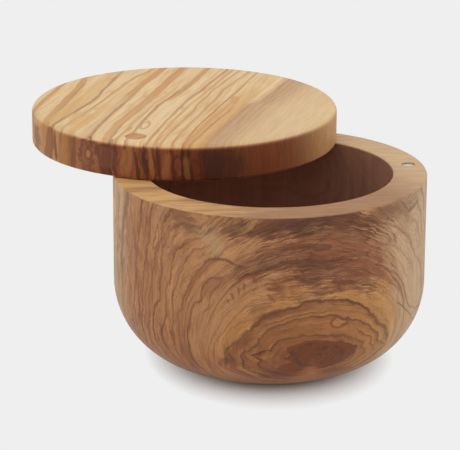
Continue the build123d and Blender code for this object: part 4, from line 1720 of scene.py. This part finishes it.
@dataclass
class Lid:
    """The turned lid. Lengths are in millimetres."""

    top_edge: float = 2.5
    bottom_edge: float = 0.8
    turning_radius: float = 2.08
    turning_spare: float = 1.0
    glue_gap: float = 0.05
    magnet_gap: float = 0.2

    def build(self, shop: Workshop) -> None:
        """Turn the disc and drill it for the screw, its head and the magnet.

        Args:
            shop: The tools.
        """
        space = Space.of("lid")
        section = rounded(space.disc(self.bottom_edge, self.top_edge))
        piece = shop.lathe.turn("lid_turned", section, space.middle, LidWood().material())
        plug = Space.of("pivot_plug")
        floor = Space.of("head_washer").bottom
        through = floor - space.bottom + self.turning_spare
        shop.drill.bore(piece, plug.middle, space.top, plug.radius + self.glue_gap, space.top - floor)
        shop.drill.bore(piece, plug.middle, floor, self.turning_radius, through)
        magnet = Space.of("lid_magnet")
        hole = magnet.radius + self.magnet_gap
        shop.drill.bore(piece, magnet.middle, space.bottom, hole, magnet.top - space.bottom, up=True)
        settle(piece, Body.LID, "lid")


@dataclass
class Pivot:
    """The screw that the lid turns on, its two washers and the plug over it. Lengths are in millimetres."""

    shank_radius: float = 2.0
    shank_in_rim: float = 3.0
    root_radius: float = 1.35
    thread_length: float = 16.0
    pitch: float = 1.8
    spans_per_turn: int = 40
    ridge_base: float = 1.15
    ridge_crest: float = 0.25
    ridge_sink: float = 0.15
    tip_radius: float = 0.1
    head_height: float = 2.4
    head_edge: float = 0.8
    drive: tuple[float, float, float] = (4.2, 1.0, 1.4)
    bore_clearance: float = 0.2
    washer_edge: float = 0.06
    plug_edge: float = 0.2

    def build(self, shop: Workshop) -> None:
        """Build the screw, the washers and the plug, whose top edge the sanding has softened.

        Args:
            shop: The tools.
        """
        self.screw(shop)
        self.washer(shop, "head_washer", Body.LID, SatinBrass)
        self.washer(shop, "spacer_washer", Body.BASE, DarkNylon)
        space = Space.of("pivot_plug")
        wood = PlugWood(space.middle, space.radius).material()
        plug = shop.lathe.disc("pivot_plug_sanded", space, self.plug_edge, wood)
        settle(plug, Body.LID, "pivot_plug")

    def screw(self, shop: Workshop) -> None:
        """Turn the core, wind the thread on it and cut the cross in its head.

        Args:
            shop: The tools.
        """
        space = Space.of("pivot_screw")
        seat = space.top - self.head_height
        shank_end = Space.of("bowl").top - self.shank_in_rim
        thread_end = shank_end - self.thread_length
        core = [
            Corner(0, space.bottom),
            Corner(self.tip_radius, space.bottom),
            Corner(self.root_radius, thread_end),
            Corner(self.root_radius, shank_end),
            Corner(self.shank_radius, shank_end),
            Corner(self.shank_radius, seat),
            Corner(space.radius, seat),
            Corner(space.radius, space.top, self.head_edge),
            Corner(0, space.top),
        ]
        steel = ZincSteel(space.middle).material()
        section = rounded(core, hold=0.1)
        piece = shop.lathe.turn("pivot_screw_rolled", section, space.middle, steel, segments=64)
        shop.welder.join(piece, self.thread(shop, space.middle, thread_end, steel))
        span, width, depth = (d * MM for d in self.drive)
        cross = (space.middle.x, space.middle.y, space.top * MM - depth / 2)
        shop.mill.cut(piece, cross, (span, width, depth + MM))
        shop.mill.cut(piece, cross, (width, span, depth + MM))
        settle(piece, Body.BASE, "pivot_screw")

    def thread(self, shop: Workshop, axis: Vector, end: float, steel: bpy.types.Material) -> bpy.types.Object:
        """Wind the thread's ridge.

        Args:
            shop: The tools.
            axis: A point on the screw's axis, in metres.
            end: Height of the thread's lower end, in millimetres.
            steel: The screw's material.

        Returns:
            The ridge, which runs out at both its ends.
        """
        root = self.root_radius - self.ridge_sink
        base = self.ridge_base / 2
        crest = self.ridge_crest / 2
        ridge = [
            Corner(root, 0),
            Corner(root, -base),
            Corner(self.shank_radius, -crest),
            Corner(self.shank_radius, crest),
            Corner(root, base),
            Corner(root, 0),
        ]
        rise = self.thread_length - self.ridge_base
        turns = rise / self.pitch
        spans = round(self.spans_per_turn * turns)
        return shop.lathe.turn("thread", rounded(ridge), axis, steel, spans, end + base, turns, rise, 0.0)

    def washer(self, shop: Workshop, node: str, body: Body, finish: type[SmallPart]) -> None:
        """Turn a flat ring in a CAD washer's place.

        Args:
            shop: The tools.
            node: Name of the CAD washer.
            body: The body that it rides on.
            finish: Its finish.
        """
        space = Space.of(node)
        inner = self.shank_radius + self.bore_clearance
        half = (space.bottom + space.top) / 2
        ring = [
            Corner(inner, half),
            Corner(inner, space.bottom, self.washer_edge),
            Corner(space.radius, space.bottom, self.washer_edge),
            Corner(space.radius, space.top, self.washer_edge),
            Corner(inner, space.top, self.washer_edge),
            Corner(inner, half),
        ]
        section = rounded(ring, steps=4, hold=0.02)
        material = finish(space.middle).material()
        piece = shop.lathe.turn(f"{node}_ring", section, space.middle, material, segments=96)
        settle(piece, body, node)


@dataclass
class Catch:
    """The two disc magnets that hold the lid shut. Lengths are in millimetres."""

    edge: float = 0.25

    def build(self, shop: Workshop) -> None:
        """Turn a disc with softened edges in each magnet's place.

        Args:
            shop: The tools.
        """
        for node, body in (("rim_magnet", Body.BASE), ("lid_magnet", Body.LID)):
            space = Space.of(node)
            nickel = NickelPlate(space.middle).material()
            piece = shop.lathe.disc(f"{node}_disc", space, self.edge, nickel)
            settle(piece, body, node)


# ---------------------------------------------------------------- Studio


def seen(tree: Tree) -> Any:
    """1 on rays that see the background, straight, mirrored or through something.

    Args:
        tree: The tree that asks.

    Returns:
        The value's socket.
    """
    path = tree.add("LightPath").node.outputs
    straight = {0: path["Is Camera Ray"], 1: path["Is Glossy Ray"]}
    through = {0: tree.add("Math", straight, operation="MAXIMUM"), 1: path["Is Transmission Ray"]}
    return tree.add("Math", through, operation="MAXIMUM")


@dataclass(frozen=True)
class PaperFloor(Finish):
    """Matt pale paper that keeps the box's shadow and is evenly lit further out. Lengths are in metres."""

    paper: str
    name: str = "paper_floor"
    shadow_shape: tuple[float, float, float] = (1.28, 1.0, 0.0)
    shadow_reach: tuple[float, float] = (0.030, 0.062)
    shadow_fall: float = 2.0

    def fill(self, tree: Tree) -> Any:
        """Lit paper near the box, and the background's own colour further out.

        Args:
            tree: The material's tree.

        Returns:
            The shader's socket.
        """
        paper = linear(self.paper)
        lit = tree.add("BsdfDiffuse", {"Color": paper})
        even = tree.add("Emission", {"Color": paper, "Strength": 1.0})
        out = off_axis(tree, tree.add("TexCoord").node.outputs["Object"], self.shadow_shape)
        near, far = self.shadow_reach
        share = tree.add("MapRange", {"Value": out, "From Min": near, "From Max": far})
        share = tree.add("Math", {0: share, 1: self.shadow_fall}, operation="POWER")
        share = tree.add("Math", {0: share, 1: seen(tree)}, operation="MULTIPLY")
        return tree.add("MixShader", {0: share, 1: lit, 2: even})


@dataclass(frozen=True)
class Studio:
    """Floor, lights and camera. Angles are in degrees, and lengths in metres."""

    azimuth: float = -4.31
    elevation: float = 17.83
    roll: float = 0.23
    distance: float = 0.9644
    target: tuple[float, float, float] = (-0.01512, 0.00114, 0.0515)
    focal_pixels: float = 2505.6
    image_width: float = 460.0
    sensor: float = 36.0
    nearest: float = 0.01
    background: str = "EFEFEF"
    surround: float = 0.42
    floor_half: float = 3.0
    floor_level: float = -0.0002

    def camera(self) -> None:
        """The camera, at the product's viewing angle."""
        back = towards(self.azimuth, self.elevation)
        right = towards(self.azimuth + 90, 0)
        turned = Matrix.Rotation(math.radians(self.roll), 3, "Z")
        basis = Matrix((right, back.cross(right), back)).transposed() @ turned
        lens = bpy.data.cameras.new("camera")
        lens.sensor_width = self.sensor
        lens.lens = self.focal_pixels * self.sensor / self.image_width
        lens.clip_start = self.nearest
        camera = stand("camera", lens)
        camera.matrix_world = Matrix.Translation(Vector(self.target) + back * self.distance) @ basis.to_4x4()
        bpy.context.scene.camera = camera

    def world(self) -> None:
        """An even pale surround."""
        world = bpy.data.worlds.new("surround")
        bpy.context.scene.world = world
        world.use_nodes = True
        tree = Tree(world.node_tree)
        lit = tree.add("Background", {"Color": (1, 1, 1, 1), "Strength": self.surround})
        shown = tree.add("Background", {"Color": linear(self.background), "Strength": 1.0})
        mixed = tree.add("MixShader", {0: seen(tree), 1: lit, 2: shown})
        tree.add("OutputWorld", {"Surface": mixed})

    def floor(self) -> None:
        """A wide floor just under the foot."""
        half = self.floor_half
        sides = ((-half, -half), (half, -half), (half, half), (-half, half))
        mesh = bpy.data.meshes.new("floor")
        mesh.from_pydata([(*side, self.floor_level) for side in sides], [], [(0, 1, 2, 3)])
        mesh.materials.append(PaperFloor(self.background).material())
        stand("floor", mesh)

    def sun(self, name: str, azimuth: float, elevation: float, strength: float, spread: float) -> None:
        """A wide soft lamp that lights everything alike.

        Args:
            name: The lamp's name.
            azimuth: Where it stands, from straight in front towards the right.
            elevation: Its height above the horizon.
            strength: Light on a surface that faces it.
            spread: Its width as seen from the box.
        """
        lamp = bpy.data.lights.new(name, "SUN")
        lamp.energy = strength
        lamp.angle = math.radians(spread)
        light = stand(name, lamp)
        light.rotation_euler = towards(azimuth, elevation).to_track_quat("Z", "Y").to_euler()

    def build(self) -> None:
        """Set the stage."""
        self.camera()
        self.world()
        self.floor()
        self.sun("overhead", 0, 78, 1.28, 90)
        self.sun("left_window", -75, 30, 0.34, 60)
        self.sun("right_window", 80, 30, 0.38, 60)
        bpy.context.scene.view_settings.view_transform = "Standard"


def main() -> None:
    """Build the box and its stage."""
    logging.basicConfig(level=logging.INFO, format="%(name)s: %(message)s")
    shop = Workshop()
    for part in (Bowl(), Lid(), Pivot(), Catch()):
        part.build(shop)
    Studio().build()


if __name__ == "__main__":
    main()
